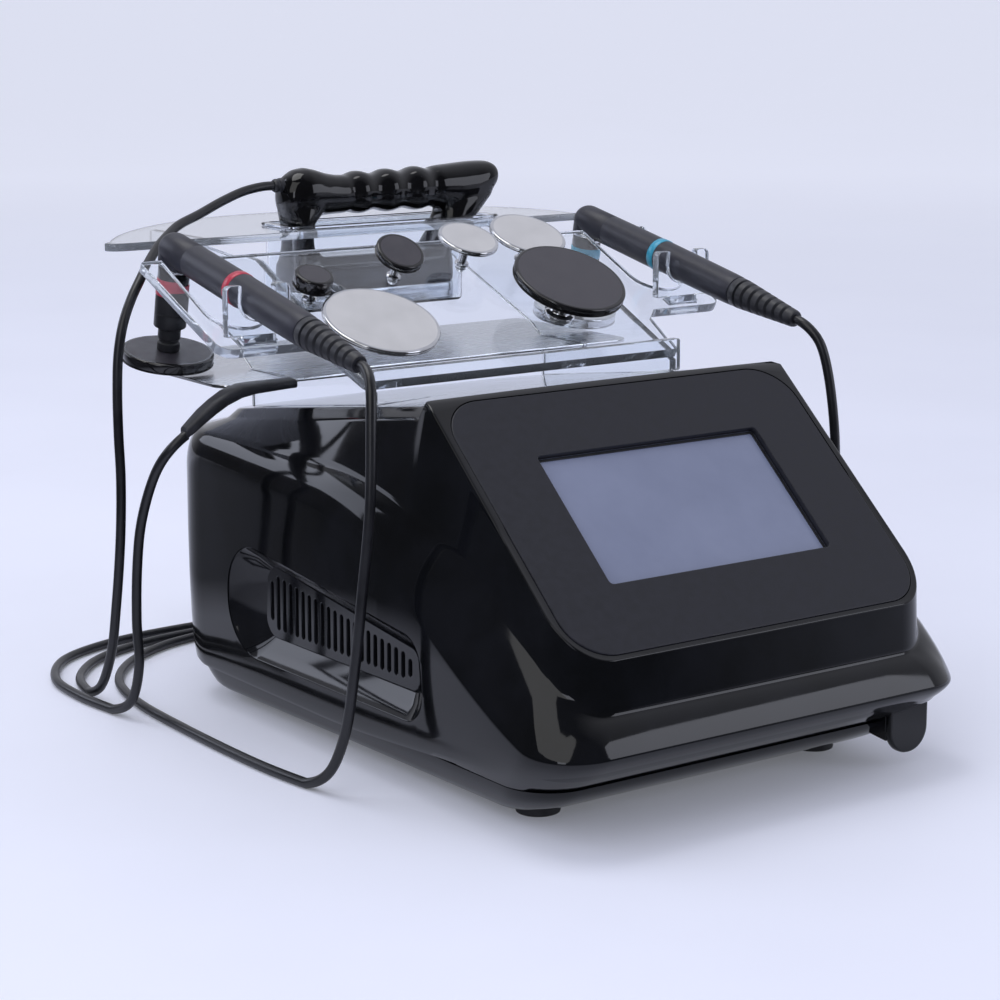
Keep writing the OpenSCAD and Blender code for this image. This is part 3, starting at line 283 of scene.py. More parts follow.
# %% Coatings, screen and acrylic
COATED_FACE = mottled("matt_black_electrode_coating", "#302e36", "#3b3940", 9, (0.34, 0.5), 0.42, 1.6,
                      0.01, 0.4)
COATED_RIM = mottled("gloss_black_electrode_coating", "#121214", "#1b1a1d", 14, (0.07, 0.14), 0.1, 1.6)
SOLDER_MASK = mottled("blue_solder_mask", "#1a4468", "#215480", 6, (0.3, 0.5), 0.4, 1.5)

DISPLAY, tree, shader = finish_named("display_glass", Roughness=0.22, IOR=1.5,
                                     Emission_Color=pigment("#767d96"), Emission_Strength=0.12)
mottle(tree, shader, "#676e86", "#6f768e", 60, (0.18, 0.25))

CLEAR_ACRYLIC, tree, shader = finish_named(
    "cast_clear_acrylic", Roughness=0.0, IOR=1.49, Transmission_Weight=1.0,
    Base_Color=pigment("#f7fafd"), Specular_Tint=(0.25, 0.25, 0.28, 1))
haze = noise(tree, object_place(tree), 60.0, 3.0)
tree.links.new(mapped(tree, haze, 0.5, 0.8, 0.0, 0.05), shader.inputs["Roughness"])

ACRYLIC_EDGE, tree, shader = finish_named(
    "flame_polished_acrylic_edge", Roughness=0.04, IOR=1.49, Transmission_Weight=0.8,
    Base_Color=pigment("#e6edf6"))
emboss(tree, shader, noise(tree, object_place(tree), 180.0, 2.0), 0.3, 0.0004)
print("acrylic IOR", CLEAR_ACRYLIC.node_tree.nodes["Principled BSDF"].inputs["IOR"].default_value)

# %% [markdown]
# Now the makers of shape. A turned piece is a profile spun about its axis. A cut sheet is an outline
# with holes, extruded, with its edges eased by half a millimetre, as a router and a flame leave them.
# A lofted piece is a skin over a row of loops. All three build plain vertices and faces, and one
# function turns them into a piece that rides on its body.

# %% Shape makers
def bring(name, verts, faces, where, finish, body, angle=35, nodes=(), edge=None,
          flat=False):
    """Makes the piece name from drawing vertices (mm) and hides the CAD nodes given, in whose place it
    stands.

    edge marks the faces that take the second finish; with flat, the unmarked faces are kept flat."""
    mesh = bpy.data.meshes.new(name)
    mesh.from_pydata([tuple(v) for v in verts], [], faces)
    finishes = finish if isinstance(finish, (list, tuple)) else [finish]
    for one in finishes:
        mesh.materials.append(one)
    if edge and len(finishes) > 1:
        for polygon, which in zip(mesh.polygons, edge):
            polygon.material_index = which
    made = bmesh.new()
    made.from_mesh(mesh)
    bmesh.ops.recalc_face_normals(made, faces=made.faces)
    for i, face in enumerate(made.faces):
        face.smooth = not (flat and edge and edge[i] == 0)
    for seam in made.edges:
        if len(seam.link_faces) == 2 and seam.calc_face_angle(0) > math.radians(angle):
            seam.smooth = False
    made.to_mesh(mesh)
    made.free()
    piece = bpy.data.objects.new(name, mesh)
    bpy.context.collection.objects.link(piece)
    # the millimetre scale goes into the mesh, so textures count in metres
    mesh.transform(Matrix.Scale(0.001, 4))
    piece.matrix_world = where @ Matrix.Scale(1000, 4)
    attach(piece, body)
    if nodes:
        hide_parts(*nodes)
    return piece


def spun(profile, steps=96):
    """Vertices and faces of a profile [(radius, height)] spun about the z axis."""
    verts, rows, faces = [], [], []
    for radius, height in profile:
        if radius < 1e-6:
            rows.append([len(verts)] * steps)
            verts.append((0, 0, height))
        else:
            rows.append([len(verts) + i for i in range(steps)])
            turns = [2 * math.pi * i / steps for i in range(steps)]
            verts += [(radius * math.cos(t), radius * math.sin(t), height) for t in turns]
    for low, high in zip(rows, rows[1:]):
        for i in range(steps):
            j = (i + 1) % steps
            corners = [low[i], low[j], high[j], high[i]]
            corners = [c for k, c in enumerate(corners) if c not in corners[:k]]
            if len(corners) > 2:
                faces.append(corners)
    return verts, faces


def lofted(loops, caps=True):
    """Vertices and faces of a skin over loops of points, with flat ends."""
    count = len(loops[0])
    verts = [p for loop in loops for p in loop]
    faces = []
    for start in range(0, (len(loops) - 1) * count, count):
        for i in range(count):
            j = (i + 1) % count
            faces.append([start + i, start + j, start + count + j, start + count + i])
    if caps:
        faces.append(list(range(count))[::-1])
        faces.append([(len(loops) - 1) * count + i for i in range(count)])
    return verts, faces


def rounded(points, radii, steps=8):
    """A closed outline with each corner rounded by its own radius."""
    loop = []
    for i, b in enumerate(points):
        a, b, c = Vector(points[i - 1]), Vector(b), Vector(points[(i + 1) % len(points)])
        u, v, r = (a - b).normalized(), (c - b).normalized(), radii[i]
        half = u.angle(v) / 2
        middle = b + (u + v).normalized() * r / math.sin(half)
        start, end = b + u * r / math.tan(half) - middle, b + v * r / math.tan(half) - middle
        turn = math.pi - 2 * half
        for k in range(steps + 1):
            t = k / steps
            swing = start * math.sin(turn * (1 - t)) + end * math.sin(turn * t)
            loop.append(middle + swing / math.sin(turn))
    return [tuple(p) for p in loop]


def round_box(w, l, r, steps=8):
    return rounded([(-w / 2, -l / 2), (w / 2, -l / 2), (w / 2, l / 2), (-w / 2, l / 2)], [r] * 4, steps)


def round_hole(x, y, r, steps=48):
    turns = [2 * math.pi * i / steps for i in range(steps)]
    return [(x + r * math.cos(t), y + r * math.sin(t)) for t in turns]


def eased(loop, by, inward):
    """The loop moved sideways by a distance: inward for an outline, outward for a hole."""
    area = sum(a[0] * b[1] - b[0] * a[1] for a, b in zip(loop, loop[1:] + loop[:1]))
    sign = (1 if area > 0 else -1) * (1 if inward else -1)
    out = []
    for i, p in enumerate(loop):
        a, b = Vector(loop[i - 1]), Vector(loop[(i + 1) % len(loop)])
        p = Vector(p)
        before, after = p - a, b - p
        if before.length <= 1e-6:
            before = after
        if after.length <= 1e-6:
            after = before
        u, v = before.normalized(), after.normalized()
        n = Vector((-u.y, u.x)) + Vector((-v.y, v.x))
        n = n / max(n.length_squared / 2, 0.5)
        out.append(tuple(p + n * by * sign))
    return out


def cut_sheet(outline, holes, thickness, ease=0.5):
    """Vertices, faces and edge marks of a sheet with eased edges, its underside at z 0."""
    verts, faces, marks = [], [], []
    levels = [(0.0, ease), (0.3 * ease, 0.3 * ease), (ease, 0.0), (thickness - ease, 0.0),
              (thickness - 0.3 * ease, 0.3 * ease), (thickness, ease)]
    rims = {0: [], len(levels) - 1: []}
    for inward, loop in [(True, outline)] + [(False, h) for h in holes]:
        start, count = len(verts), len(loop)
        for level, (z, by) in enumerate(levels):
            ring = eased(loop, by, inward) if by else loop
            verts += [(p[0], p[1], z) for p in ring]
            if level in rims:
                rims[level].append([start + level * count + i for i in range(count)])
        for level in range(len(levels) - 1):
            for i in range(count):
                a, j = start + level * count, (i + 1) % count
                faces.append([a + i, a + j, a + count + j, a + count + i])
                marks.append(1)
    for level, rings in rims.items():
        flat = [i for ring in rings for i in ring]
        for triangle in tessellate_polygon([[Vector(verts[i]) for i in ring] for ring in rings]):
            faces.append([flat[i] for i in triangle])
            marks.append(0)
    return verts, faces, marks


def turned(name, profile, where, finish, body, nodes=(), angle=40, steps=96):
    """A piece spun from its profile."""
    verts, faces = spun(profile, steps)
    return bring(name, verts, faces, where, finish, body, angle, nodes)


def sheet(name, outline, holes, thickness, ease, where, finish, nodes=(), angle=35,
          body="root"):
    """A piece cut from sheet."""
    verts, faces, marks = cut_sheet(outline, holes, thickness, ease)
    return bring(name, verts, faces, where, finish, body, angle, nodes, marks, True)


print("a test sheet has", len(cut_sheet(round_box(40, 20, 4), [round_hole(0, 0, 5)], 6)[1]), "faces")

# %% [markdown]
# Each applicator has a 6 mm PVC cord of 1.2 to 1.5 m. It leaves its tool through a strain relief,
# drops to the table, runs round to the back and is wound there into a small coil with a tie, before
# it climbs to its socket. The line is drawn through listed points and smoothed, the coil is
# wound turn by turn, and a tube is swept along the whole.

# %% Cord lines
CORD_D = 6.0
LOW, HIGH = CORD_D / 2 + 0.2, CORD_D * 1.5 + 0.2
INNER, OUTER = 28.0, 34.0
REAR_FACE, PLUG_END = 335, 376

CORD_LINES = {
    "red": dict(
        route=[(-157, 87.7, 240.4), (-157, 83.3, 239.5), (-158.5, 76.5, 235.5), (-161, 70.5, 228),
               (-164, 66, 211), (-168, 62, 166), (-171, 66, 120), (-173, 72, 75), (-176, 79, 36),
               (-180, 90, 13), (-184, 108, LOW), (-189, 150, LOW), (-191, 240, LOW),
               (-188, 310, LOW), (-176, 358, LOW), (-150, 394, LOW), (-110, 420, LOW),
               (-62, 430, LOW)],
        coil=(-38, 396), enters=90, way=-1, turn=990,
        end=[(-69, 402, 59), (-70, 411, 43), (-71, 409, 25)], plug=(-68, PLUG_END, 67)),
    "teal": dict(
        route=[(157, 87.7, 240.4), (157, 83.3, 239.5), (158.5, 76.5, 235.5), (161, 70.5, 228),
               (164, 66, 211), (168, 62, 166), (171, 66, 120), (173, 72, 75), (176, 79, 36),
               (180, 90, 13), (184, 108, LOW), (190, 160, LOW), (192, 240, LOW), (188, 310, LOW),
               (170, 347, LOW), (130, 361, LOW), (68, 362, LOW)],
        coil=(46, 396), enters=270, way=-1, turn=1170,
        end=[(25, 402, 59), (20, 411, 43), (15, 409, 25)], plug=(28, PLUG_END, 67)),
    "iron": dict(
        route=[(-42.4, 380, 313), (-48, 380, 313), (-64, 377.5, 311), (-84, 371, 306),
               (-106, 363, 299), (-126, 353, 294), (-140, 342, 289), (-153, 330, 283.7),
               (-166, 317.5, 276), (-178, 305, 268), (-188.5, 297.5, 257), (-197, 292, 243.5),
               (-201.5, 290.5, 226), (-203.5, 289.5, 204), (-203.5, 290, 178), (-202.5, 291, 150),
               (-202, 295, 115), (-202, 304, 70), (-203, 312, 36), (-204, 326, 12),
               (-203, 346, LOW), (-194, 378, LOW), (-168, 410, LOW), (-126, 431, LOW),
               (-70, 439, LOW), (10, 439, LOW), (60, 447, LOW)],
        coil=(80, 482), enters=270, way=1, turn=990,
        end=[(4, 408, 57), (18, 424, 39), (34, 444, 20)], plug=(-4, PLUG_END, 67)),
    "plate": dict(
        route=[(-185.9, 237, 182.8), (-189.8, 237, 180.3), (-195, 239, 175), (-199, 245, 166),
               (-201, 254, 152), (-203, 265, 126), (-203, 272, 98), (-203, 275, 64),
               (-203, 274, 36), (-205, 282, 13), (-208, 302, LOW), (-212, 340, LOW),
               (-208, 384, LOW), (-184, 424, LOW), (-140, 446, LOW), (-80, 453, LOW),
               (-18, 449, LOW)],
        coil=(2, 482), enters=270, way=1, turn=990,
        end=[(-36, 406, 56), (-35, 420, 38), (-33, 438, 20)], plug=(-36, PLUG_END, 67)),
}


def ease_in(t):
    t = min(max(t, 0), 1)
    return t * t * (3 - 2 * t)


def wound(coil, enters, way, turn):
    """The coil: an outer and an inner turn on the table, then the rest on top of them."""
    points = []
    step_out = 870 if turn < 1000 else 900
    for s in range(8, turn - 7, 12):
        inside = ease_in((s - 300) / 60) - ease_in((s - step_out) / 60)
        radius = OUTER - (OUTER - INNER) * inside
        height = LOW + (HIGH - LOW) * ease_in((s - 590) / 70)
        angle = math.radians(enters + way * s)
        points.append((coil[0] + radius * math.cos(angle), coil[1] + radius * math.sin(angle), height))
    return points


def between(t, start, end, u, v):
    return (end - t) / (end - start) * u + (t - start) / (end - start) * v


def smooth_line(points, step=3.0):
    """A centripetal curve through the points, sampled about every step millimetres."""
    p = [Vector(q) for q in points]
    p = [2 * p[0] - p[1]] + p + [2 * p[-1] - p[-2]]
    line = []
    for i in range(1, len(p) - 2):
        a, b, c, d = p[i - 1:i + 3]
        knots = [0]
        for u, v in ((a, b), (b, c), (c, d)):
            knots.append(knots[-1] + max((v - u).length, 1e-3) ** 0.5)
        n = max(2, round((c - b).length / step))
        for k in range(n):
            t = knots[1] + (knots[2] - knots[1]) * k / n
            layer = [a, b, c, d]
            for span in (1, 2):  # the usual pyramid of blends between neighbours
                layer = [between(t, knots[m], knots[m + span], u, v)
                         for m, (u, v) in enumerate(zip(layer, layer[1:]))]
            line.append(between(t, knots[1], knots[2], *layer))
    line.append(p[-2])
    return [Vector((q.x, q.y, max(q.z, LOW))) for q in line]  # nothing sinks into the table


def swept(line, radius, sides=20):
    """A tube along a line, its rings carried from one to the next without twist."""
    verts, side = [], None
    for i, point in enumerate(line):
        ahead = (line[min(i + 1, len(line) - 1)] - line[max(i - 1, 0)]).normalized()
        if side is None:
            side = ahead.orthogonal().normalized()
        side = (side - side.dot(ahead) * ahead).normalized()
        up = ahead.cross(side)
        turns = [2 * math.pi * k / sides for k in range(sides)]
        verts += [point + radius * (math.cos(t) * side + math.sin(t) * up) for t in turns]
    return lofted([verts[i * sides:(i + 1) * sides] for i in range(len(line))])


def strap_line(clear, low, radii):
    """The section of a strap round the turns, this far clear of the middle of their cords."""
    return rounded([(INNER - clear, low), (OUTER + clear, low), (OUTER + clear, HIGH + clear),
                    (INNER - clear, HIGH + clear)], radii, 5)


def coil_tie(name, coil, angle):
    """A narrow hook-and-loop strap round the bundle of turns."""
    outer, inner = strap_line(4, 0.02, [1.5, 1.5, 4, 4]), strap_line(3.1, 0.15, [1, 1, 3, 3])
    loops = [[(r, offset, z) for r, z in line]
             for line, offset in ((inner, -6), (outer, -6), (outer, 6), (inner, 6), (inner, -6))]
    verts, faces = lofted(loops, caps=False)
    where = HOUSE @ moved(coil[0], coil[1], 0) @ tilted(angle, "Z")
    return bring(name, verts, faces, where, RUBBER, "root")


def plug_profile():
    """Moulded plug: its pin end inside the socket, finger ribs, then a tapered relief."""
    face = REAR_FACE + 3 + 2.3  # past the panel and the socket's collar
    start = REAR_FACE - 6
    points = [(0, start), (4.7, start), (4.7, face), (6.4, face), (7, face + 0.8)]
    for i in range(5):
        z = face + 3.2 * i
        points += [(7, z + 1.6), (7, z + 3.2), (6.3, z + 3.5), (6.3, z + 4.3)]
    points += [(6.2, face + 18), (5.4, face + 20)]
    for i in range(4):
        z, r = face + 21 + 3.4 * i, 5.2 - 0.35 * i
        points += [(r, z), (r - 0.1, z + 2), (r - 0.7, z + 2.2), (r - 0.75, z + 3.2)]
    points += [(4, PLUG_END), (0, PLUG_END)]
    return points


CORDS = {}
for colour, c in CORD_LINES.items():
    turns = wound(c["coil"], c["enters"], c["way"], c["turn"])
    px, py, pz = c["plug"]
    line = smooth_line(c["route"] + turns + c["end"][::-1] + [(px, py + 10, pz), (px, py, pz)])
    length = sum((b - a).length for a, b in zip(line, line[1:])) / 1000
    verts, faces = swept(line, CORD_D / 2)
    cord = bring(colour + "_applicator_cord", verts, faces, HOUSE, CORD_PVC, "root",
                 nodes=(colour + "_cord", colour + "_coil"))
    tie = coil_tie(colour + "_coil_tie", c["coil"], c["enters"] + 135)
    plug = turned(colour + "_moulded_plug", plug_profile(), HOUSE @ moved(px, 0, pz) @ tilted(-90),
                  NYLON, "root", (colour + "_plug",), angle=30, steps=48)
    CORDS[colour] = dict(piece=cord, line=line, length=length, with_pieces=[tie, plug])
    print(colour, "cord:", round(length, 3), "m,", len(line), "points")

# %% [markdown]
# Each cord is cut loose from its body, its place is baked into its mesh, and its line is carried
# into the row's metres. For each tool a point at the strain relief and one lower down are given, but
# nothing here blends the cord between them, so it does not follow its tool when that is lifted. Read
# along the straight line between the two, as such a blend's share would be, a slanting line like the
# iron's would also move parts of its coil and the plug's end.

# %% Cords cut loose from their bodies
FOLLOWS = {"red": ("red_handpiece", in_row(-157, 87, 240), in_row(-172, 66, 60)),
           "teal": ("teal_handpiece", in_row(157, 87, 240), in_row(172, 66, 60)),
           "iron": ("iron", in_row(-42, 380, 313), in_row(-203, 290, 120)),
           "plate": ("return_plate", in_row(-186, 237, 183), in_row(-203, 272, 60))}
for colour, (tool, start, end) in FOLLOWS.items():
    made = CORDS[colour]
    cord = made["piece"]
    world = cord.matrix_world.copy()
    cord.parent = None
    cord.matrix_world = world
    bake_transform(cord)
    path = [tuple(HOUSE @ p) for p in made["line"]]
print("cords declared:", {c: round(m["length"], 2) for c, m in CORDS.items()})

# %% [markdown]
# The hood is one moulding with long flowing sides: a belly that tucks in under a low crease, a shallow
# scoop above it, a high crease that sweeps from the front lip up to the roof, and walls that end in
# the rim of the screen. It is built as a loft: seven loops, each with its own width, corner radius and
# height along the machine. Every column of the loft is then rounded where a crease is, by a small
# curve, because a mould has no sharp corner.

# %% Housing loops
HALF_W, FRONT, REAR, SEAM_Z = 151.0, 82.0, 338.0, 28.0
RIM_HALF, RIM_FRONT, RIM_REAR = 127.5, 68.0, 87.5 * math.cos(math.radians(SCREEN_TILT)) + 4


def screen_plane(y):
    return SCREEN_Z + y * math.tan(math.radians(SCREEN_TILT))


def roof(y):
    return 216 - (y - 72) * 0.14


def low_crease(y):
    return 53 + 97 * ease_in((y + 75) / 225)


def high_crease(y):
    t = min(max((y + 68) / 225, 0), 1)
    return 172 - 100 * (1 - t) ** 2


def back_of_screen(y):
    return ease_in((y - RIM_REAR) / 4)


def rim_height(y):
    s = back_of_screen(y)
    return screen_plane(min(y, RIM_REAR)) * (1 - s) + roof(y) * s


ARC_N, SIDE_N = 14, 66


def half_loop(front, rear, w_front, w_rear, r_front, r_rear, inset=0.0):
    """The right half of a loop, from the middle of the front to the middle of the back."""
    front, rear, w_front, w_rear = front + inset, rear - inset, w_front - inset, w_rear - inset
    r_front, r_rear = max(r_front - inset, 2), max(r_rear - inset, 2)
    arc = [math.radians(90 * i / ARC_N) for i in range(ARC_N + 1)]
    points = [((w_front - r_front) * t, front) for t in (0, 0.25, 0.5, 0.75)]
    points += [(w_front - r_front + r_front * math.sin(a), front + r_front - r_front * math.cos(a))
               for a in arc]
    for i in range(1, SIDE_N):
        t = i / SIDE_N
        points.append((w_front + (w_rear - w_front) * i / SIDE_N,
                       (front + r_front) * (1 - t) + (rear - r_rear) * i / SIDE_N))
    points += [(w_rear - r_rear + r_rear * math.cos(a), rear - r_rear + r_rear * math.sin(a))
               for a in arc]
    points += [((w_rear - r_rear) * t, rear) for t in (0.75, 0.5, 0.25, 0)]
    return points


def column_points(inset=0.0):
    """For every place along the half loop, the corner points of its column from the seam up."""
    def plain(height):
        return lambda y: height
    loops = [(half_loop(-FRONT + 32, REAR - 6, HALF_W - 12, HALF_W - 6, 30, 42, inset), plain(SEAM_Z)),
             (half_loop(-FRONT + 8, REAR, HALF_W - 4, HALF_W - 1, 34, 45, inset),
              plain(SEAM_Z + 16)),
             (half_loop(-FRONT, REAR, HALF_W - 3, HALF_W, 34, 45, inset), low_crease),
             (half_loop(-FRONT + 6, REAR - 1, HALF_W - 10, HALF_W - 2, 30, 45, inset),
              lambda y: (low_crease(y) + high_crease(y)) / 2 + 2),
             (half_loop(-FRONT + 13, REAR - 4, RIM_HALF + 1, HALF_W - 7, 27, 44, inset), high_crease),
             (half_loop(-RIM_FRONT, REAR - 10, RIM_HALF, HALF_W - 25, 26, 44, inset), None)]
    columns = []
    for j in range(len(loops[0][0])):
        column = []
        for points, height in loops[:5]:
            x, y = points[j]
            column.append(Vector((x, y, height(y) - (inset if height(y) > SEAM_Z else 0))))
        x, y = loops[5][0][j]
        top = rim_height(y) - inset
        s = back_of_screen(y)
        # behind the screen the edge of the roof leans in, towards the middle
        lean = Vector((x, max(y - 260, 0) * 1.4)).normalized() * 7 * s
        column.append(Vector((x, y, min(top - 3, top - 6 * s))))
        column.append(Vector((x - lean.x, y - lean.y, top)))
        columns.append(column)
    return columns


def bowed(a, b, c, n):
    """n points after a, through b to c, on a parabola."""
    control = 2 * b - (a + c) / 2
    return [a * (1 - t) ** 2 + control * 2 * t * (1 - t) + c * t * t
            for t in [(i + 1) / n for i in range(n)]]


def soft_corner(a, p, b, reach, n=4):
    u = p + (a - p).normalized() * min(reach, (a - p).length * 0.45)
    v = p + (b - p).normalized() * min(reach, (b - p).length * 0.45)
    return [u * (1 - t) ** 2 + p * 2 * t * (1 - t) + v * t * t for t in [i / n for i in range(n + 1)]]


def skin_column(p, fine):
    """The column's real line: belly, low crease, scoop, high crease, wall and rim."""
    if not fine:
        return p
    belly = bowed(p[0], p[1], p[2], 7)
    scoop = bowed(p[2], p[3], p[4], 7)
    line = [p[0]] + belly[:-1]
    line += soft_corner(belly[-2], p[2], scoop[0], 2.5) + scoop[:-1]
    line += soft_corner(scoop[-2], p[4], p[5], 3.5)
    line += soft_corner(p[4], p[5], p[6], 2.0)
    across = -5 if p[6].x > 5 else 0
    along = 3 if p[6].y < 0 else -3 if p[6].y > 250 else 0
    return line + soft_corner(p[5], p[6], p[6] + Vector((across, along, 0)), 1.8)


print("housing columns:", 2 * len(column_points()), "roof falls to", round(roof(318), 1), "mm")

# %% [markdown]
# The columns become the outside of the hood, and a roof skin joins its left and right edges row by
# row. A second, plainer skin 3 mm further in gives the wall its thickness. The openings for the
# bezel, the vents and the rear panel are then cut with one boolean, as a mould's cores leave them.

# %% Hood moulding
VENT_MOUTH = [(40, 45), (258, 43), (254, 116), (44, 94)]
VENT_FLOOR = [(60, 60), (230, 57), (226, 101), (62, 82)]


def side_x(y, z):
    """How far the side stands from the middle at this place."""
    t = (z - 44) / max(low_crease(y) - 44, 1)
    a, b = HALF_W - 4 + 3 * (y + 40) / 330, HALF_W - 3 + 3 * (y + 48) / 340
    return a + (b - a) * min(max(t, 0), 1)


def hood_skin(inset, fine):
    columns = [skin_column(p, fine) for p in column_points(inset)]
    count = len(columns)
    full = columns + [[Vector((-q.x, q.y, q.z)) for q in column] for column in columns[-2:0:-1]]
    rows = [[column[r] for column in full] for r in range(len(full[0]))]
    verts, faces = lofted(rows, caps=False)
    top = (len(rows) - 1) * len(full)
    across = 9
    ridge = []
    for j in range(1, count - 1):
        right, left = rows[-1][j], rows[-1][-j]
        row = [top + j]
        for k in range(1, across):
            point = right.lerp(left, k / across)
            crown = 2.0 * back_of_screen(point.y) * (1 - (2 * k / across - 1) ** 2)
            crown *= min(1, (REAR - 10 - point.y) / 60)
            row.append(len(verts))
            verts.append(Vector((point.x, point.y, point.z + (crown if fine else 0))))
        ridge.append(row + [top + len(full) - j])
    for a, b in zip(ridge, ridge[1:]):
        faces += [[a[k], a[k + 1], b[k + 1], b[k]] for k in range(across)]
    for tip, row in ((top, ridge[0]), (top + count - 1, ridge[-1])):
        faces += [[tip, row[k], row[k + 1]] for k in range(across)]
    return verts, faces, len(full)


def plain_solid(name, verts, faces):
    mesh = bpy.data.meshes.new(name)
    mesh.from_pydata([tuple(v) for v in verts], [], faces)
    made = bmesh.new()
    made.from_mesh(mesh)
    bmesh.ops.remove_doubles(made, verts=made.verts, dist=0.0005)
    bmesh.ops.recalc_face_normals(made, faces=made.faces)
    made.to_mesh(mesh)
    made.free()
    return bpy.data.objects.new(name, mesh)


def as_modified(body):
    """The plain vertices and faces of a body after its modifiers; the body itself is thrown away."""
    bpy.context.view_layer.update()
    depsgraph = bpy.context.evaluated_depsgraph_get()
    mesh = bpy.data.meshes.new_from_object(body.evaluated_get(depsgraph))
    bpy.data.objects.remove(body)
    return [v.co.copy() for v in mesh.vertices], [list(f.vertices) for f in mesh.polygons]


def carved(body, cutters):
    """The body with the cutters taken away, as plain vertices and faces."""
    bpy.context.collection.objects.link(body)
    for cutter in cutters:
        bpy.context.collection.objects.link(cutter)
        step = body.modifiers.new("cut", "BOOLEAN")
        step.object, step.operation, step.solver = cutter, "DIFFERENCE", "EXACT"
    verts, faces = as_modified(body)
    for cutter in cutters:
        bpy.data.objects.remove(cutter)
    return verts, faces


def prism(outline, where, low, high):
    """A straight block over an outline, in drawing millimetres."""
    loops = [[where @ Vector((x, y, z)) for x, y in outline] for z in (low, high)]
    return lofted(loops)


DRAWN = HOUSE.inverted()
outside, faces, ring = hood_skin(0, True)
inside, inner_faces, _ = hood_skin(3.0, False)
shift = len(outside)
faces = faces + [[i + shift for i in f][::-1] for f in inner_faces]
faces += [[i, (i + 1) % ring, shift + (i + 1) % ring, shift + i] for i in range(ring)]
hood = plain_solid("hood", outside + inside, faces)
at_rear = moved(0, REAR_FACE, 88) @ tilted(-90)
cutters = [plain_solid("bezel_seat", *prism(round_box(245.4, 175.4, 26, 16), DRAWN @ SCREEN, -4, 30)),
           plain_solid("bezel_window", *prism(round_box(233, 163, 20, 16), DRAWN @ SCREEN, -40, -3.9)),
           plain_solid("panel_window", *prism(round_box(220.3, 82.3, 6), at_rear, -12, 40))]
for side in (-1, 1):
    mouth = rounded(VENT_MOUTH, [20, 32, 32, 18], 12)
    block = [[(side * x, y, z) for y, z in mouth] for x in (120, 160)]
    cutters.append(plain_solid("vent_cut", *lofted(block)))
verts, faces = carved(hood, cutters)
hood = bring("hood_moulding", verts, faces, HOUSE, HOUSING_ABS, "root", angle=38,
             nodes=("top_shell",))
print("hood moulding:", len(hood.data.polygons), "faces")

# %% [markdown]
# The base is a tray that tucks in under the hood. A thin shadow line shows where the two mouldings
# meet, so the base stops 0.4 mm short of the hood.

# %% Base moulding
BASE_Z, BASE_GAP = 8, 0.4


def base_loops(inset):
    loops = []
    for t in (0, 0.15, 0.35, 0.6, 0.85, 1.0):
        def mid(a, b):
            return a + (b - a) * (1 - (1 - t) ** 1.6)
        half = half_loop(mid(-RIM_FRONT + 48, -FRONT + 32), mid(REAR - 16, REAR - 6),
                         mid(126, HALF_W - 12), mid(137, HALF_W - 6), mid(22, 30), mid(36, 42), inset)
        z = BASE_Z + (SEAM_Z - BASE_GAP - BASE_Z) * t
        loops.append([Vector((x, y, z)) for x, y in half]
                     + [Vector((-x, y, z)) for x, y in half[-2:0:-1]])
    return loops


outer = base_loops(0)
# the lowest loop is eased: 2 mm in at the bottom, full 1.2 mm above it
bottom = [p + (Vector((0, 150, BASE_Z)) - p).normalized() * 2.0 for p in outer[0]]
outer[0] = [Vector((p.x, p.y, BASE_Z + 1.2)) for p in outer[0]]
rim_inside = [[Vector((p.x, p.y, max(p.z, BASE_Z + 3))) for p in loop] for loop in base_loops(3.0)]
verts, faces = lofted([bottom] + outer + rim_inside[::-1])
base = plain_solid("base", verts, faces)
slots = []
for i in range(7):
    x = -45 + 15 * i
    slot = rounded([(x, 150), (x + 5, 150), (x + 5, 210), (x, 210)], [2.4] * 4, 4)
    slots.append(plain_solid("slot", *prism(slot, Matrix.Identity(4), 4, 14)))
verts, faces = carved(base, slots)
base = bring("base_moulding", verts, faces, HOUSE, HOUSING_ABS, "root", angle=38,
             nodes=("base_shell",))
print("base moulding:", len(base.data.polygons), "faces")

# %% [markdown]
# The bezel is a matt plate that lies in the rim on its own small gap, with a soft edge and a window.
# Behind the window lies the display under its glass, framed by a black printed border.

# %% Bezel and display
sheet("bezel_plate", round_box(244.7, 174.7, 26, 20), [round_box(156, 89, 2.5, 5)], 4, 0.7,
      SCREEN @ moved(0, 0, -4), BEZEL_PC, ("bezel_panel",))
sheet("display_module", round_box(166, 99, 2, 4), [], 5, 0.3,
      SCREEN @ moved(0, 0, -10.6), PANEL_ABS, ("touch_screen",))
sheet("display_front", round_box(163, 96, 1.5, 4), [], 1.3, 0.2,
      SCREEN @ moved(0, 0, -5.5), DISPLAY)
sheet("display_border", round_box(155.9, 88.9, 2.4, 5), [round_box(152.5, 85.5, 1, 3)], 0.5, 0.1,
      SCREEN @ moved(0, 0, -4.15), NYLON)
print("bezel window 156 x 89 mm, a common 7 inch panel")

# %% [markdown]
# Each side has a vent. A rounded mouth is sunk into the side and narrows like a funnel to a floor of
# upright slots. The funnel is a loft between two rounded outlines with a soft lip, and the floor is a
# cut sheet with 22 slots.

# %% Side vents
SLOT_COUNT, SLOT_W = 22, 3.4
SLOTS_FROM, SLOTS_LENGTH, FLOOR_DEPTH = 60, 170, 15.6
# how far from mouth to floor, and how deep: lip, fillet, wall and foot
FUNNEL = [(-0.012, 0.9), (0.0, 0.15), (0.012, 0.0), (0.035, 0.25), (0.07, 1.2), (0.5, 6.3),
          (0.93, 11.4), (0.98, 12.0), (1.0, 12.4)]


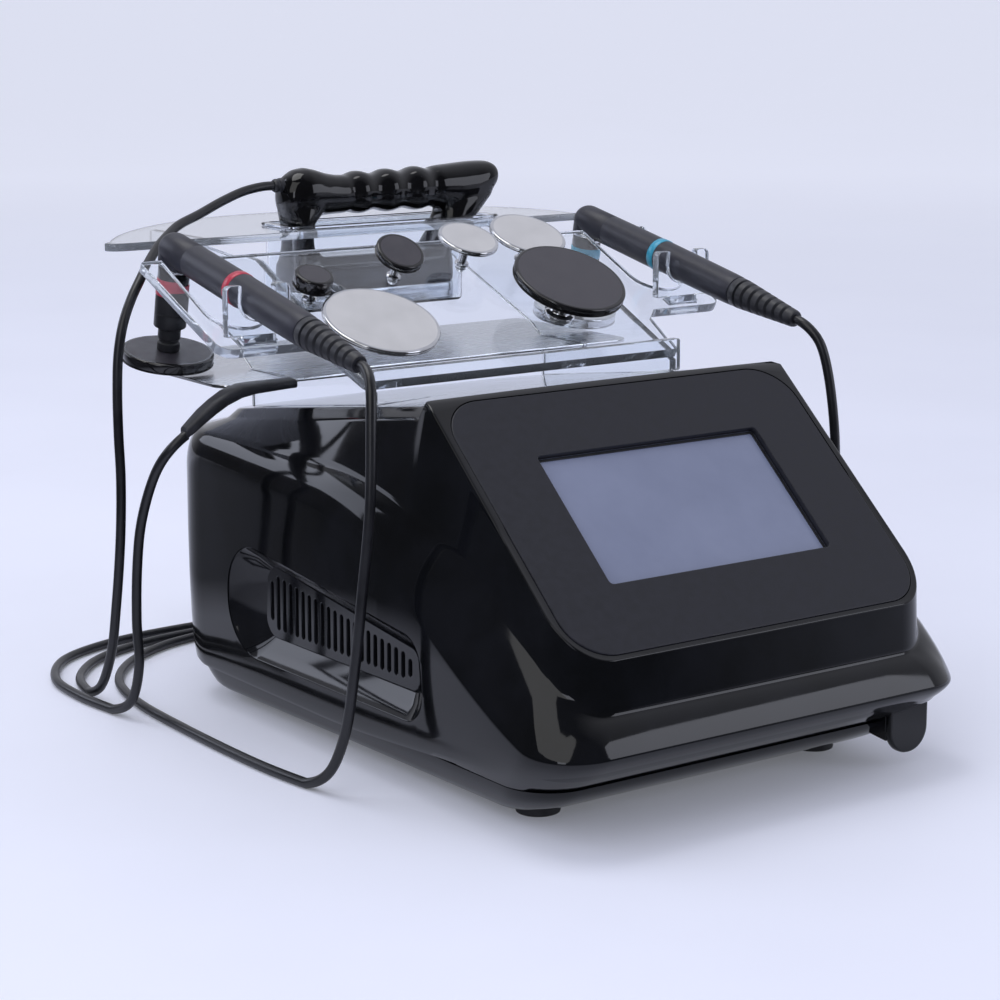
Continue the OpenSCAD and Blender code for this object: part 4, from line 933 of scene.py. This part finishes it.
def vent(side, name):
    mouth = rounded(VENT_MOUTH, [20, 32, 32, 18], 12)
    floor = rounded(VENT_FLOOR, [8, 12, 12, 8], 12)
    loops = []
    for t, depth in FUNNEL:
        loop = []
        for (y0, z0), (y1, z1) in zip(mouth, floor):
            y, z = y0 + (y1 - y0) * (0.004 + t), z0 + (z1 - z0) * (0.004 + t)
            loop.append(Vector((side * (side_x(y0, z0) - 0.15 - depth), y, z)))
        loops.append(loop)
    verts, faces = lofted(loops, caps=False)
    bring(name + "_funnel", verts, faces, HOUSE, GRILLE_ABS, "root", angle=50,
          nodes=("vent_grille_left" if side < 0 else "vent_grille_right",))
    pitch = (SLOTS_LENGTH - 10) / SLOT_COUNT
    slots = []
    for i in range(SLOT_COUNT):
        y = SLOTS_FROM + 8 + pitch * i
        t = (y - SLOTS_FROM) / SLOTS_LENGTH
        # the end slots are shorter, because the corners of the floor are round
        short = {0: 2, SLOT_COUNT - 1: 5}.get(i, 0)
        bottom, top = 60 - 3 * t + 5 + short, 82 + 19 * t - 4.5 - short
        slots.append(rounded([(y, bottom), (y + SLOT_W, bottom), (y + SLOT_W, top), (y, top)],
                             [1.6] * 4, 4))
    floor = rounded([(59, 59), (231, 56), (227, 102), (61, 83)], [8, 12, 12, 8], 8)
    sheet(name + "_slotted_floor", floor, slots, 3, 0.6,
          side_on(side * (HALF_W - FLOOR_DEPTH), facing=side), GRILLE_ABS, angle=30)


vent(-1, "left_vent")
vent(1, "right_vent")
print(SLOT_COUNT, "slots of", SLOT_W, "mm in each vent")

# %% [markdown]
# The feet are turned rubber with a chamfered edge. The hook is a tongue below the front lip where a
# cord can be hung.

# %% Feet and hook
FOOT = [(2.5, 0), (10.6, 0), (12.2, 0.5), (12.5, 1.6), (12.2, 3), (11.7, 5), (11.5, 7.9), (4, 7.9),
        (4, 14), (2.5, 14), (2.5, 0)]
for i, (x, y) in enumerate([(-100, 2), (100, 2), (-104, 296), (104, 296)]):
    turned("rubber_foot_%d" % (i + 1), FOOT, HOUSE @ moved(x, y, 0), RUBBER, "root",
           ("rubber_feet",), angle=35, steps=64)
tongue = rounded([(-14.5, 9), (14.5, 9), (14.5, 41), (-14.5, 41)], [14, 14, 1.5, 1.5], 12)
sheet("hook_tongue", tongue, [], 5, 1.2, HOUSE @ moved(118, -55, 0) @ tilted(90), HOUSING_ABS,
      ("front_hook",))
web = rounded([(-1, 17), (26, 20), (26, 30), (4, 36), (-1, 38)], [1] * 5, 4)
sheet("hook_web", web, [], 5, 0.8, side_on(103.5, -55), HOUSING_ABS)
print("four feet and the hook")

# %% [markdown]
# The stand is laser-cut from cast acrylic sheet, and its edges are flame-polished, so they catch the
# light while the faces almost vanish. Faces and edges get two finishes. The slots for the grips run
# through the sloping tray along the vertical, so in the tray's own plane their ends are ellipses.

# %% Clear stand: tray and rail
SHEET, SLOPE = 6.0, math.radians(TRAY_TILT)
TRAY_FRONT, TRAY_BACK, NOTCH_Y, FORK_Y = 151, 282, 230, 200
HUB, PIN = 16, 5  # the two kinds of stem, by diameter
# place along and up the tray, rise of the disc, its diameter, thickness and tilt, and its stem
SILVER = {"silver_large": (-80, 1, 8, 72, 3, 0, HUB), "silver_medium": (68, 70, 17, 50, 3, 0, PIN),
          "silver_small": (22, 70, 17, 39, 3, 0, PIN)}
BLACK = {"black_large": (56, 5, 21.5, 72, 5.5, 3, HUB), "black_small": (-34, 62, 15, 31, 5, 13, PIN),
         "black_tiny": (-103, 46, 8.5, 24, 9, 0, PIN)}
HUB_HOLE, PIN_HOLE, FREE_HOLE = 8.5, 2.9, (-82, 54)
ACRYLIC = [CLEAR_ACRYLIC, ACRYLIC_EDGE]


def tray_top(y):
    return TRAY_Z + (y - TRAY_Y) * math.tan(SLOPE)


def up_tray(y):
    """How far up the slope of the tray this place is."""
    return (y - TRAY_Y) / math.cos(SLOPE)


back_v, front_v = up_tray(TRAY_BACK), up_tray(TRAY_FRONT)
slot_v, slot_r = up_tray(NOTCH_Y), 18.0


def grip_notch(side):
    """From the back edge in, round half the ellipse and out again."""
    x = side * TOOL_X
    arc = [(x + slot_r * math.cos(a), slot_v + slot_r / math.cos(SLOPE) * math.sin(a))
           for a in [math.pi * (1 + k / 16) for k in range(17)]]
    return [(x - slot_r, back_v)] + arc + [(x + slot_r, back_v)]


half = [(114, front_v), (120, -8), (128, 0), (185, 0), (190, back_v)]
outline = rounded(half + [(-x, v) for x, v in half[::-1]], [2, 3, 3, 10, 3, 3, 10, 3, 3, 2], 6)
# the two notches go into the long back edge, which runs from right to left
at = max(i for i, p in enumerate(outline) if p[0] > 0 and p[1] > back_v - 0.01) + 1
outline = outline[:at] + grip_notch(1)[::-1] + grip_notch(-1)[::-1] + outline[at:]
spares = list(SILVER.values()) + list(BLACK.values())
holes = [round_hole(e[0], e[1], HUB_HOLE if e[6] == HUB else PIN_HOLE) for e in spares]
holes.append(round_hole(*FREE_HOLE, HUB_HOLE))
for side in (-1, 1):
    x, v = side * TOOL_X, up_tray(FORK_Y)
    corners = [(x - 11.3, v - 3.7), (x + 11.3, v - 3.7), (x + 11.3, v + 3.7), (x - 11.3, v + 3.7)]
    holes.append(rounded(corners, [0.6] * 4, 3))
sheet("acrylic_tray", outline, holes, SHEET, 0.5, TRAY @ moved(0, 0, -SHEET), ACRYLIC,
      ("stand_tray",), 30)

rail_top, rail_low = tray_top(TRAY_FRONT) + 7, roof(145) + 0.3
sheet("acrylic_rail", round_box(226, rail_top - rail_low, 1.5, 4), [], 5.7, 0.6,
      HOUSE @ moved(0, TRAY_FRONT, (rail_top + rail_low) / 2) @ tilted(90), ACRYLIC,
      ("stand_rail",), 30)
print("tray 380 mm wide, rail %.1f mm high" % (rail_top - rail_low))

# %% [markdown]
# Two cheeks stand on the roof and carry the tray and the round shelf. Each is slotted from the back,
# so the return plate can slide in under the tray. The pocket for the iron is thin vacuum-formed
# acrylic: it follows the iron and flares under its nose, with a rolled rim that hangs in the shelf.

# %% Clear stand: cheeks, shelf, pocket and forks
y0, y1, back = 151.3, 288.0, tray_top(TRAY_BACK) - SHEET / math.cos(SLOPE)
cheek = rounded([(y0, roof(y0)), (y1, roof(y1)), (y1, 206.7), (240, 206.7), (240, 209.3),
                 (y1 + 2, 209.3), (y1 + 14, 217), (421, 264.5), (421, 280.5), (351, 280.5),
                 (280, back - 2 * math.tan(SLOPE)), (y0, tray_top(y0) - SHEET / math.cos(SLOPE))],
                [1, 1, 0.8, 0.3, 0.3, 4, 10, 3, 2, 12, 6, 1], 4)
for side in (-1, 1):
    sheet("acrylic_cheek_" + ("left" if side < 0 else "right"), cheek, [], 5, 0.5,
          side_on(side * 110 - 2.5), ACRYLIC, ("stand_cheeks",), 30)

IRON_X, IRON_Y, IRON_Z, IRON_L, IRON_D = 28, 380, 229, 124, 38
POCKET_FLARE, FLARE_Z, SHELF_Z = 28, 261.5, 280.5


def pocket_plan(gap, lean=POCKET_FLARE):
    """The pocket's outline: its right end is lean further out, under the iron's nose."""
    plan = round_box(IRON_L + lean + 4 + 2 * gap, IRON_D + 4 + 2 * gap, 5 + gap, 6)
    return [(IRON_X + lean / 2 + x, IRON_Y + y) for x, y in plan]


SHELF_FRONT, SHELF_DEPTH, SHELF_STEPS = 347, 133, 90
# the shelf's right shoulder is full and its left one is drawn in
angles = [math.pi * i / SHELF_STEPS for i in range(SHELF_STEPS)]
arc = [(183 * math.cos(a) ** 0.8, SHELF_FRONT + SHELF_DEPTH * math.sin(a) ** 0.7)
       for a in angles[1:SHELF_STEPS // 2]]
arc += [(177 * math.cos(a), SHELF_FRONT + SHELF_DEPTH * math.sin(a) ** 1.7)
        for a in angles[SHELF_STEPS // 2:SHELF_STEPS - 7]]
front_left = [(-176.5, 355.5), (-175.5, 352), (-172.5, 349), (-168, 347.4)]
outline = [(-161, SHELF_FRONT), (183, SHELF_FRONT)] + arc + front_left
sheet("acrylic_shelf", outline, [pocket_plan(2.3)], 5, 0.5, HOUSE @ moved(0, 0, SHELF_Z), ACRYLIC,
      ("stand_shelf",), 30)


def pocket_loop(z, gap):
    """The pocket's skin at a height, this far outside the iron's clearance."""
    lean = min(max(0, z - FLARE_Z) / 24 * POCKET_FLARE, POCKET_FLARE)
    return [Vector((x, y, z)) for x, y in pocket_plan(gap, lean)]


heights = (232, 245, 258, 261.5, 266, 272, 278, 285.5)
stations = [(227, -2.5), (227.6, 0.6), (229, 1.8)] + [(z, 2) for z in heights]
stations += [(285.6, 4.2), (286.2, 5), (287.1, 4.8), (287.5, 4.0), (287.5, 0.6), (286.8, 0)]
stations += [(z, 0) for z in heights[::-1]] + [(229.4, -0.6), (229, -3)]
verts, faces = lofted([pocket_loop(z, gap) for z, gap in stations])
bring("acrylic_iron_pocket", verts, faces, HOUSE, CLEAR_ACRYLIC, "root", 40,
      ("iron_pocket",))

GRIP_R, FORK_REACH, FORK_NECK = 10.25, 21, 11
lean = math.radians(TOOL_TILT)
axis = HEAD_Z + (FORK_Y - NECK_Y) * math.tan(lean)
top, foot, neck = axis + 9.5, tray_top(FORK_Y) - SHEET / math.cos(SLOPE) + 1, tray_top(FORK_Y) + 1.8
r = GRIP_R / math.cos(lean) + 3 * math.tan(lean) + 0.6  # a slanting grip needs a wider cradle
cradle = [(r * math.cos(a), axis + r * math.sin(a))
          for a in [math.pi * (1 + k / 20) for k in range(21)]]
loop = rounded([(-FORK_NECK, foot), (FORK_NECK, foot), (FORK_NECK, neck), (FORK_REACH, neck),
                (FORK_REACH, top), (r, top)], [0.5, 0.5, 0.5, 1, 3.5, 2.5], 5)
left = rounded([(0, axis), (-r, top), (-FORK_REACH, top), (-FORK_REACH, neck), (-FORK_NECK, neck)],
               [0, 2.5, 3.5, 1, 0.5], 5)
loop += cradle[::-1] + left[6:]
for side in (-1, 1):
    hand = "left" if side < 0 else "right"
    sheet("acrylic_fork_" + hand, loop, [], 6, 0.5,
          HOUSE @ moved(side * TOOL_X, FORK_Y + 3, 0) @ tilted(90), ACRYLIC,
          ("fork_" + hand,), 30)
print("stand: 2 cheeks, shelf, pocket and 2 forks")

# %% [markdown]
# A handpiece is turned and moulded in a few parts: a satin grip with a domed head, a colour ring let
# into it, a neck with a bright ferrule and the same colour ring, and a ribbed rubber relief for the
# cord. The grip's seam, a hair-thin groove behind the head, is what tells the eye it is two parts.

# %% Handpieces
GRIP_END = 159.5


def handpiece(side, colour, ring_finish, ring_slot, disc_finish):
    body, upright = colour + "_handpiece", tool_frame(side)
    lying = upright @ tilted(90)

    def part(name, profile, where, finish, slot, nodes=(), angle=40, steps=96):
        turned(colour + "_" + name, profile, where, finish, body, nodes, angle, steps)

    dome = [(GRIP_R * math.sin(math.radians(a)), -GRIP_R * math.cos(math.radians(a)))
            for a in range(0, 91, 6)]
    part("grip_shell", dome + [
        (10.3, 25.4), (10.05, 25.7), (10.05, 26.2), (10.32, 26.5), (10.45, 67), (10.42, 77.5),
        (9.45, 77.6), (9.45, 83.7), (10.4, 83.8), (10.1, 128), (9.85, 151), (9.65, 158),
        (9.3, 159.1), (8.4, GRIP_END), (0, GRIP_END)], lying, GRIP_ABS, "grip_satin",
        (colour + "_grip",))
    part("grip_socket", [(0, -2), (10.05, -2), (10.05, -10.8), (9.8, -11.2), (8.9, -11.2),
                         (8.9, -10.4), (0, -10.4)], upright, GRIP_ABS, "grip_satin")
    part("grip_ring", [(9.4, 77.75), (10.4, 77.75), (10.72, 78.2), (10.72, 83.1), (10.4, 83.55),
                       (9.4, 83.55)], lying, ring_finish, ring_slot, (colour + "_bands",))
    part("neck_ring", [(9.1, -28.4), (10.05, -28.4), (10.2, -28.1), (10.2, -21.7), (10.05, -21.4),
                       (9.1, -21.4)], upright, ring_finish, ring_slot)
    part("ferrule", [(0, -11.3), (10.15, -11.3), (10.4, -11.6), (10.4, -12.9), (10.1, -13.3),
                     (0, -13.3)], upright, STEEL_RIM, "electrode_steel")
    part("neck_collar", [(0, -13.2), (9.95, -13.2), (10, -13.6), (10, -20.9), (9.8, -21.35),
                         (0, -21.35)], upright, IRON_ABS, "grip_satin")
    part("neck_tube", [
        (0, -21.3), (9.05, -21.3), (9.05, -28.45), (9.9, -28.5), (10, -28.9), (10, -39.6),
        (9.75, -39.8), (9.75, -40.2), (10, -40.4), (10, -48.4), (9.55, -49), (7.3, -50.2), (7, -51),
        (7, -56.4), (6.1, -57.2), (6.1, -58.6), (7, -59.4), (7, -63.6), (6.4, -64.5), (0, -64.5)],
        upright, NYLON if colour == "red" else PANEL_ABS, "grip_satin", (colour + "_neck",))
    ribs = [(0, 0), (8.9, 0), (9.4, 0.7), (9.4, 5.5)]
    for i in range(7):
        z, r, s = 6.6 + 7 * i, 9.35 - 4.1 * i / 7, 9.35 - 4.1 * (i + 0.75) / 7
        ribs += [(r - 1.5, z - 0.7), (r - 1.5, z + 0.7), (r - 0.1, z + 1.0), (s, z + 5.4)]
    ribs += [(5.1, 55.2), (4.7, 56), (0, 56)]
    part("cord_relief", ribs, lying @ moved(0, 0, GRIP_END), RELIEF_RUBBER, "relief_rubber",
         (colour + "_relief",), 38, 64)
    disc(colour + "_fitted_disc", upright @ moved(0, 0, -71.5), 57, 7, disc_finish, body,
         colour + "_electrode")


def disc(name, where, d, t, finishes, body, node):
    """An electrode disc: a flat face with a rolled rim, and a fine bead round its foot."""
    r, e = d / 2, min(1.4, 0.4 * t)
    profile = [(0, 0), (r - 4, 0), (r - 0.6, 0), (r - 0.1, 0.15), (r, 0.45), (r - 0.1, 0.75),
               (r - 0.5, 0.9), (r - 0.4, 1.0)]
    profile += [(r - e * (1 - math.sin(a)), t - e * (1 - math.cos(a)))
                for a in [math.pi / 2 * (1 - k / 6) for k in range(7)]]
    profile += [(r - e - 0.3, t), (r - e - 1, t), (0, t)]
    verts, faces = spun(profile, 128)
    reach = [max(math.hypot(verts[i][0], verts[i][1]) for i in face) for face in faces]
    marks = [1 if far > r - e - 0.5 else 0 for far in reach]
    bring(name, verts, faces, where, finishes, body, 50, (node,), marks)


BLACK_DISC, STEEL_DISC = (COATED_FACE, COATED_RIM), (STEEL_FACE, STEEL_RIM)
handpiece(-1, "red", CRIMSON_ABS, "band_red", BLACK_DISC)
handpiece(1, "teal", TEAL_ABS, "band_teal", STEEL_DISC)
print("two handpieces of nine parts each")

# %% [markdown]
# The spare electrodes stand in the tray by their stems. The big ones sit on a wide polished hub, the
# small ones on a thin pin with a snap collar, so they stand at different heights over the tray.

# %% Spare electrodes
def stem_profile(kind, rise):
    if kind == HUB:
        return [(0, -8), (6.9, -8), (7.8, -7), (7.8, 0.3), (9.6, 0.3), (9.9, 0.6), (9.9, 1.8),
                (9.4, 2.2), (7, 2.6), (6.4, 3.4), (6.4, rise - 1.5), (7.5, rise - 0.4),
                (7.5, rise + 0.2), (0, rise + 0.2)]
    return [(0, -8), (1.9, -8), (2.4, -7.4), (2.4, 0.3), (4.3, 0.3), (4.5, 0.5), (4.5, 1.6),
            (4.1, 2), (2.6, 2.2), (2.6, rise - 3), (3.6, rise - 2.4), (3.6, rise - 1.2),
            (3, rise - 0.6), (3, rise + 0.9), (0, rise + 0.9)]


for group, finishes, cad_slot in ((SILVER, STEEL_DISC, "electrode_steel"),
                                  (BLACK, BLACK_DISC, "electrode_black")):
    for name, (u, v, rise, d, t, tilt, stem) in group.items():
        where = TRAY @ moved(u, v, 0)
        disc(name + "_disc", where @ moved(0, 0, rise) @ tilted(tilt), d, t, finishes, name,
             name)
        turned(name + "_stem", stem_profile(stem, rise), where, STEEL_RIM, name, steps=48)
print("six spare electrodes")

# %% [markdown]
# The iron's handle is a sculpted moulding: a bar over the sole, two waisted posts and a grip with three
# finger swells. It is blocked out from four overlapping lofts, melted into one skin by a voxel remesh,
# and smoothed, which gives the soft fillets that a sculptor would file where the posts meet the bar.

# %% Iron handle
def egg(cx, cy, hx, hy, power=2.6, count=40):
    """A loop between an ellipse and a rounded rectangle."""
    loop = []
    for i in range(count):
        a = 2 * math.pi * i / count
        c, s = math.cos(a), math.sin(a)
        loop.append((cx + hx * math.copysign(abs(c) ** (2 / power), c),
                     cy + hy * math.copysign(abs(s) ** (2 / power), s)))
    return loop


def post(stations):
    """An upright of the handle, from [(height, left, right, half depth)]."""
    return lofted([[(x, y, z) for x, y in egg((a + b) / 2, 0, (b - a) / 2, h)]
                   for z, a, b, h in stations])


def swell(x):
    return 1.3 * math.cos(2 * math.pi * (x - 22) / 23) if 12 <= x <= 79 else 0.0


bar = lofted([[(IRON_X + x, y, z) for x, y in round_box(IRON_L - 2 * g, IRON_D - 2 * g, 9, 6)]
              for z, g in [(240, 0), (241, 0), (256, 0), (260, 1.6), (262.5, 4)]])
heel = post([(248, -34, -2, 18.6), (256, -34, -7, 18), (262, -33, -11.5, 17.4),
             (268, -31, -15.5, 16.6), (274, -29.8, -17.6, 16.2), (281, -30, -17.4, 16),
             (287, -32.5, -15.4, 15.8), (293, -35, -9, 15.4), (299, -36.4, -2, 14.8),
             (306, -35, 0, 12)])
toe = post([(248, 60, 90, 18.6), (256, 66, 90.4, 18), (262, 72, 91.5, 17.2),
            (268, 77.5, 94.5, 16.6), (275, 82, 101, 16.2), (281, 84.5, 109, 15.8),
            (287, 86.5, 116, 15.4), (293, 88, 122, 15.2), (300, 92, 129, 14.6),
            (307, 98, 132.5, 12)])
grip = [(-36.8, 309, 301, 5), (-35.6, 314, 296, 9.5), (-32, 319, 291, 13), (-26, 322.8, 289, 15),
        (-19, 324, 289.5, 15.6), (-12, 322.6, 291, 15.2), (-4, 320, 292, 14.7),
        (4, 318.4, 292.4, 14.3), (10, 318, 292.4, 14.2)]
for x in range(13, 80, 3):
    s = swell(x)
    grip.append((x, 318.8 + 1.6 * (x - 13) / 66 + s, 292.6 - 0.9 * s, 14.3 + s * 0.9))
grip += [(84, 320.9, 292.2, 14.4), (92, 321.6, 291, 14.6), (102, 322.3, 289, 14.8),
         (112, 322.9, 290, 14.8), (120, 323, 295, 14.6), (126, 322.8, 300, 13.8),
         (130.5, 321.4, 304.5, 12), (133.2, 318, 309, 8.5), (134, 315, 311.5, 4)]
grip = lofted([[(x, y, z) for z, y in egg((t + b) / 2, 0, (t - b) / 2, h, 2.35)]
               for x, t, b, h in grip])
verts, faces = [], []
for v, f in (bar, heel, toe, grip):
    faces += [[i + len(verts) for i in face] for face in f]
    verts += [(x, IRON_Y + y, z) for x, y, z in v]
clay = plain_solid("iron_clay", verts, faces)
bpy.context.collection.objects.link(clay)
melt = clay.modifiers.new("melt", "REMESH")
melt.mode, melt.voxel_size = "VOXEL", 1.3
soften = clay.modifiers.new("soften", "SMOOTH")
soften.factor, soften.iterations = 0.5, 14
verts, faces = as_modified(clay)
bring("iron_grip_moulding", verts, faces, HOUSE, IRON_ABS, "iron", 180, ("iron_handle",))
print("iron handle:", len(faces), "faces after the remesh")
sole = [[(IRON_X + x, IRON_Y + y, z) for x, y in round_box(IRON_L - 2 * g, IRON_D - 2 * g, 9 - g, 12)]
        for z, g in ((IRON_Z, 1.2), (229.3, 0.4), (230.2, 0), (239, 0), (239.7, 0.3), (240, 0.8))]
verts, faces = lofted(sole)
bring("iron_sole_plate", verts, faces, HOUSE, SOLE_STEEL, "iron", 60, ("iron_sole",))
turned("iron_cord_relief", [(0, -1), (4.9, -1), (4.9, 1.2), (4.6, 1.9), (4.1, 2.2), (4.1, 2.8),
                            (4.5, 3.1), (4.5, 4.4), (4.1, 5.2), (3.5, 6), (0, 6)],
       HOUSE @ moved(-36, IRON_Y, 313) @ tilted(-90, "Y"), RELIEF_RUBBER, "iron",
       ("iron_relief",), angle=35, steps=48)

# %% [markdown]
# The return plate is a flat stainless sheet with rounded corners. A rubber boot is moulded over its
# front edge and tapers into the cord's relief.

# %% Return plate and boot
sheet("steel_return_plate", round_box(310, 130, 12, 12), [], 2, 0.35, HOUSE @ moved(-5, 305, 207),
      [PLATE_STEEL, STEEL_RIM], ("return_plate",), 30, "return_plate")
BOOT_Y = 237
loops = []
for x, low, high, half_y in [(-113.5, 204.6, 210.2, 7), (-118, 204.5, 210.3, 7),
                             (-140, 203.4, 210.3, 7), (-150, 201.8, 210, 7), (-160, 198, 207, 6.9),
                             (-168, 193.4, 202.6, 6.5), (-176, 188, 197.2, 6),
                             (-182, 183.6, 192.2, 5.2), (-187, 180.4, 188, 4.2)]:
    section = egg(0, 0, half_y, (high - low) / 2, 3.2, 36)
    loops.append([(x, BOOT_Y + y, (low + high) / 2 + z) for y, z in section])
verts, faces = lofted(loops)
bring("plate_boot_moulding", verts, faces, HOUSE, RELIEF_RUBBER, "return_plate", 40,
      ("plate_boot",))
print("return plate 310 x 130 x 2 mm")

# %% [markdown]
# The connections at the back and the parts inside keep their engineering shapes, which are plain
# mouldings and bent sheet on the real machine too. They get eased edges and their own finishes.

# %% Finishes for the engineering parts
FINISHES = {
    "rear_panel": PANEL_ABS, "output_sockets": NYLON, "mains_inlet": NYLON, "switch_frame": NYLON,
    "power_switch": NYLON, "cooling_fan": PANEL_ABS, "fan_rotor": NYLON, "power_supply": SHEET_ZINC,
    "rf_board": SOLDER_MASK, "heat_sink": FIN_ALUMINIUM, "shell_screws": SCREW_STEEL,
}
for node, material in FINISHES.items():
    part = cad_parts[node]
    if not part.material_slots:
        part.data.materials.append(material)
    for held in part.material_slots:
        held.material = material
    ease = part.modifiers.new("eased_edges", "BEVEL")
    ease.width, ease.segments = 0.0004, 2
    ease.limit_method, ease.angle_limit = "ANGLE", math.radians(40)
print("finished", len(FINISHES), "engineering parts")

# %% [markdown]
# The studio: a pale lavender floor 400 m wide, a sky of the same shade and five large softboxes. A
# glossy black part shows mostly what it mirrors, so two things are set by the kind of ray. The camera
# sees an even pale floor and sky, and sees them through the acrylic too. A mirroring surface sees the
# side to the left of the machine and in front of it dimmer than it is lit, which keeps the black deep.

# %% Floor
FLOOR_REACH = 200
PAPER, tree, shader = finish_named("pale_studio_paper", Roughness=0.6, IOR=1.45,
                                   Emission_Color=pigment("#f6f9ff"))
mottle(tree, shader, "#d9dcec", "#dcdfef", 400, (0.55, 0.65))
spot, path = object_place(tree), add(tree, "LightPath").outputs
away = add(tree, "VectorMath", {"operation": "LENGTH"}, i0=spot).outputs["Value"]
# far from the lamps the paper glows a little, to eyes and mirrors only, so it looks as pale as near
seen = maths(tree, "MAXIMUM", path["Is Camera Ray"], path["Is Transmission Ray"])
seen = maths(tree, "MAXIMUM", seen, path["Is Glossy Ray"])
glow = maths(tree, "MULTIPLY", seen, mapped(tree, away, 0.9, 4.5, 0.12, 0.33))
tree.links.new(glow, shader.inputs["Emission Strength"])
# the dim side, for mirrors only: 1 to the front left, 0 past the machine, a quarter of that below it
axes = add(tree, "SeparateXYZ", Vector=spot).outputs
aside = maths(tree, "MULTIPLY_ADD", axes["X"], 0.8, maths(tree, "MULTIPLY", axes["Y"], 0.5))
near = maths(tree, "MULTIPLY", mapped(tree, aside, -0.15, 0.4, 1.0, 0.0),
             mapped(tree, away, 0.36, 0.48, 0.25, 1.0))
# a ray through glass counts as glossy too, so it is taken off again
mirror = maths(tree, "SUBTRACT", path["Is Glossy Ray"], path["Is Transmission Ray"])
dim = add(tree, "Emission", Color=pigment("#dde3f1"), Strength=0.06).outputs[0]
blend = add(tree, "MixShader", i0=maths(tree, "MULTIPLY", near, mirror, clamp=True),
            i1=shader.outputs[0], i2=dim)
tree.links.new(blend.outputs[0], tree.nodes["Material Output"].inputs["Surface"])

corners = [(x * FLOOR_REACH, y * FLOOR_REACH, 0) for x, y in ((-1, -1), (1, -1), (1, 1), (-1, 1))]
floor_mesh = bpy.data.meshes.new("studio_floor")
floor_mesh.from_pydata(corners, [], [(0, 1, 2, 3)])
floor_mesh.materials.append(PAPER)
floor = bpy.data.objects.new("studio_floor", floor_mesh)
bpy.context.collection.objects.link(floor)
print("floor:", 2 * FLOOR_REACH, "m wide")

# %% [markdown]
# The sky has three levels. Seen directly or through glass it is pale, what falls on matt surfaces is
# even from all sides, and only a mirror sees a bright far wall and a dim near one.

# %% Sky and lamps
SEEN_SKY, EVEN_SKY = 0.95, 0.74
TO_BRIGHT_WALL = (0.8, 0.5, 0.33)
world = bpy.data.worlds.new("studio_sky")
bpy.context.scene.world = world
world.use_nodes = True
tree = world.node_tree
sky = tree.nodes["Background"]
sky.inputs["Color"].default_value = pigment("#e4e6f2")
ray = add(tree, "TexCoord").outputs["Generated"]
path = add(tree, "LightPath").outputs
facing = add(tree, "VectorMath", {"operation": "DOT_PRODUCT"}, i0=ray, i1=TO_BRIGHT_WALL)
overhead = mapped(tree, add(tree, "SeparateXYZ", Vector=ray).outputs["Z"], 0.1, 0.75, 1.0, 0.95)
level = maths(tree, "MULTIPLY", mapped(tree, facing.outputs["Value"], 0.05, 0.65, 0.07, 0.78), overhead)
direct = maths(tree, "MAXIMUM", path["Is Camera Ray"], path["Is Transmission Ray"])
level = mapped(tree, direct, 0.0, 1.0, level, SEEN_SKY)
level = mapped(tree, path["Is Diffuse Ray"], 0.0, 1.0, level, EVEN_SKY)
tree.links.new(level, sky.inputs["Strength"])


def softbox(name, at, size, power, shade="#ffffff", aim=(0, 0, 0.15)):
    light = bpy.data.lights.new(name, "AREA")
    light.shape, light.size, light.size_y = "RECTANGLE", size[0], size[1]
    light.energy, light.color = power, pigment(shade)[:3]
    lamp = bpy.data.objects.new(name, light)
    bpy.context.collection.objects.link(lamp)
    lamp.location, lamp.visible_camera = at, False
    lamp.rotation_euler = (Vector(aim) - Vector(at)).to_track_quat("-Z", "Y").to_euler()


softbox("key_softbox", (-1.9, -0.9, 1.9), (2.2, 2.2), 18)
softbox("fill_softbox", (1.5, -2.0, 0.9), (1.0, 1.2), 8, "#eef1ff")
softbox("door_softbox", (-2.9, -2.3, 0.75), (0.8, 1.3), 8, "#eef2ff")
softbox("window_softbox", (-1.7, 2.4, 1.5), (1.7, 1.2), 13, "#e6ecff")
softbox("top_softbox", (-0.35, 0.45, 2.3), (1.3, 1.3), 15, aim=(0, 0, 0.2))
print("sky and five softboxes")
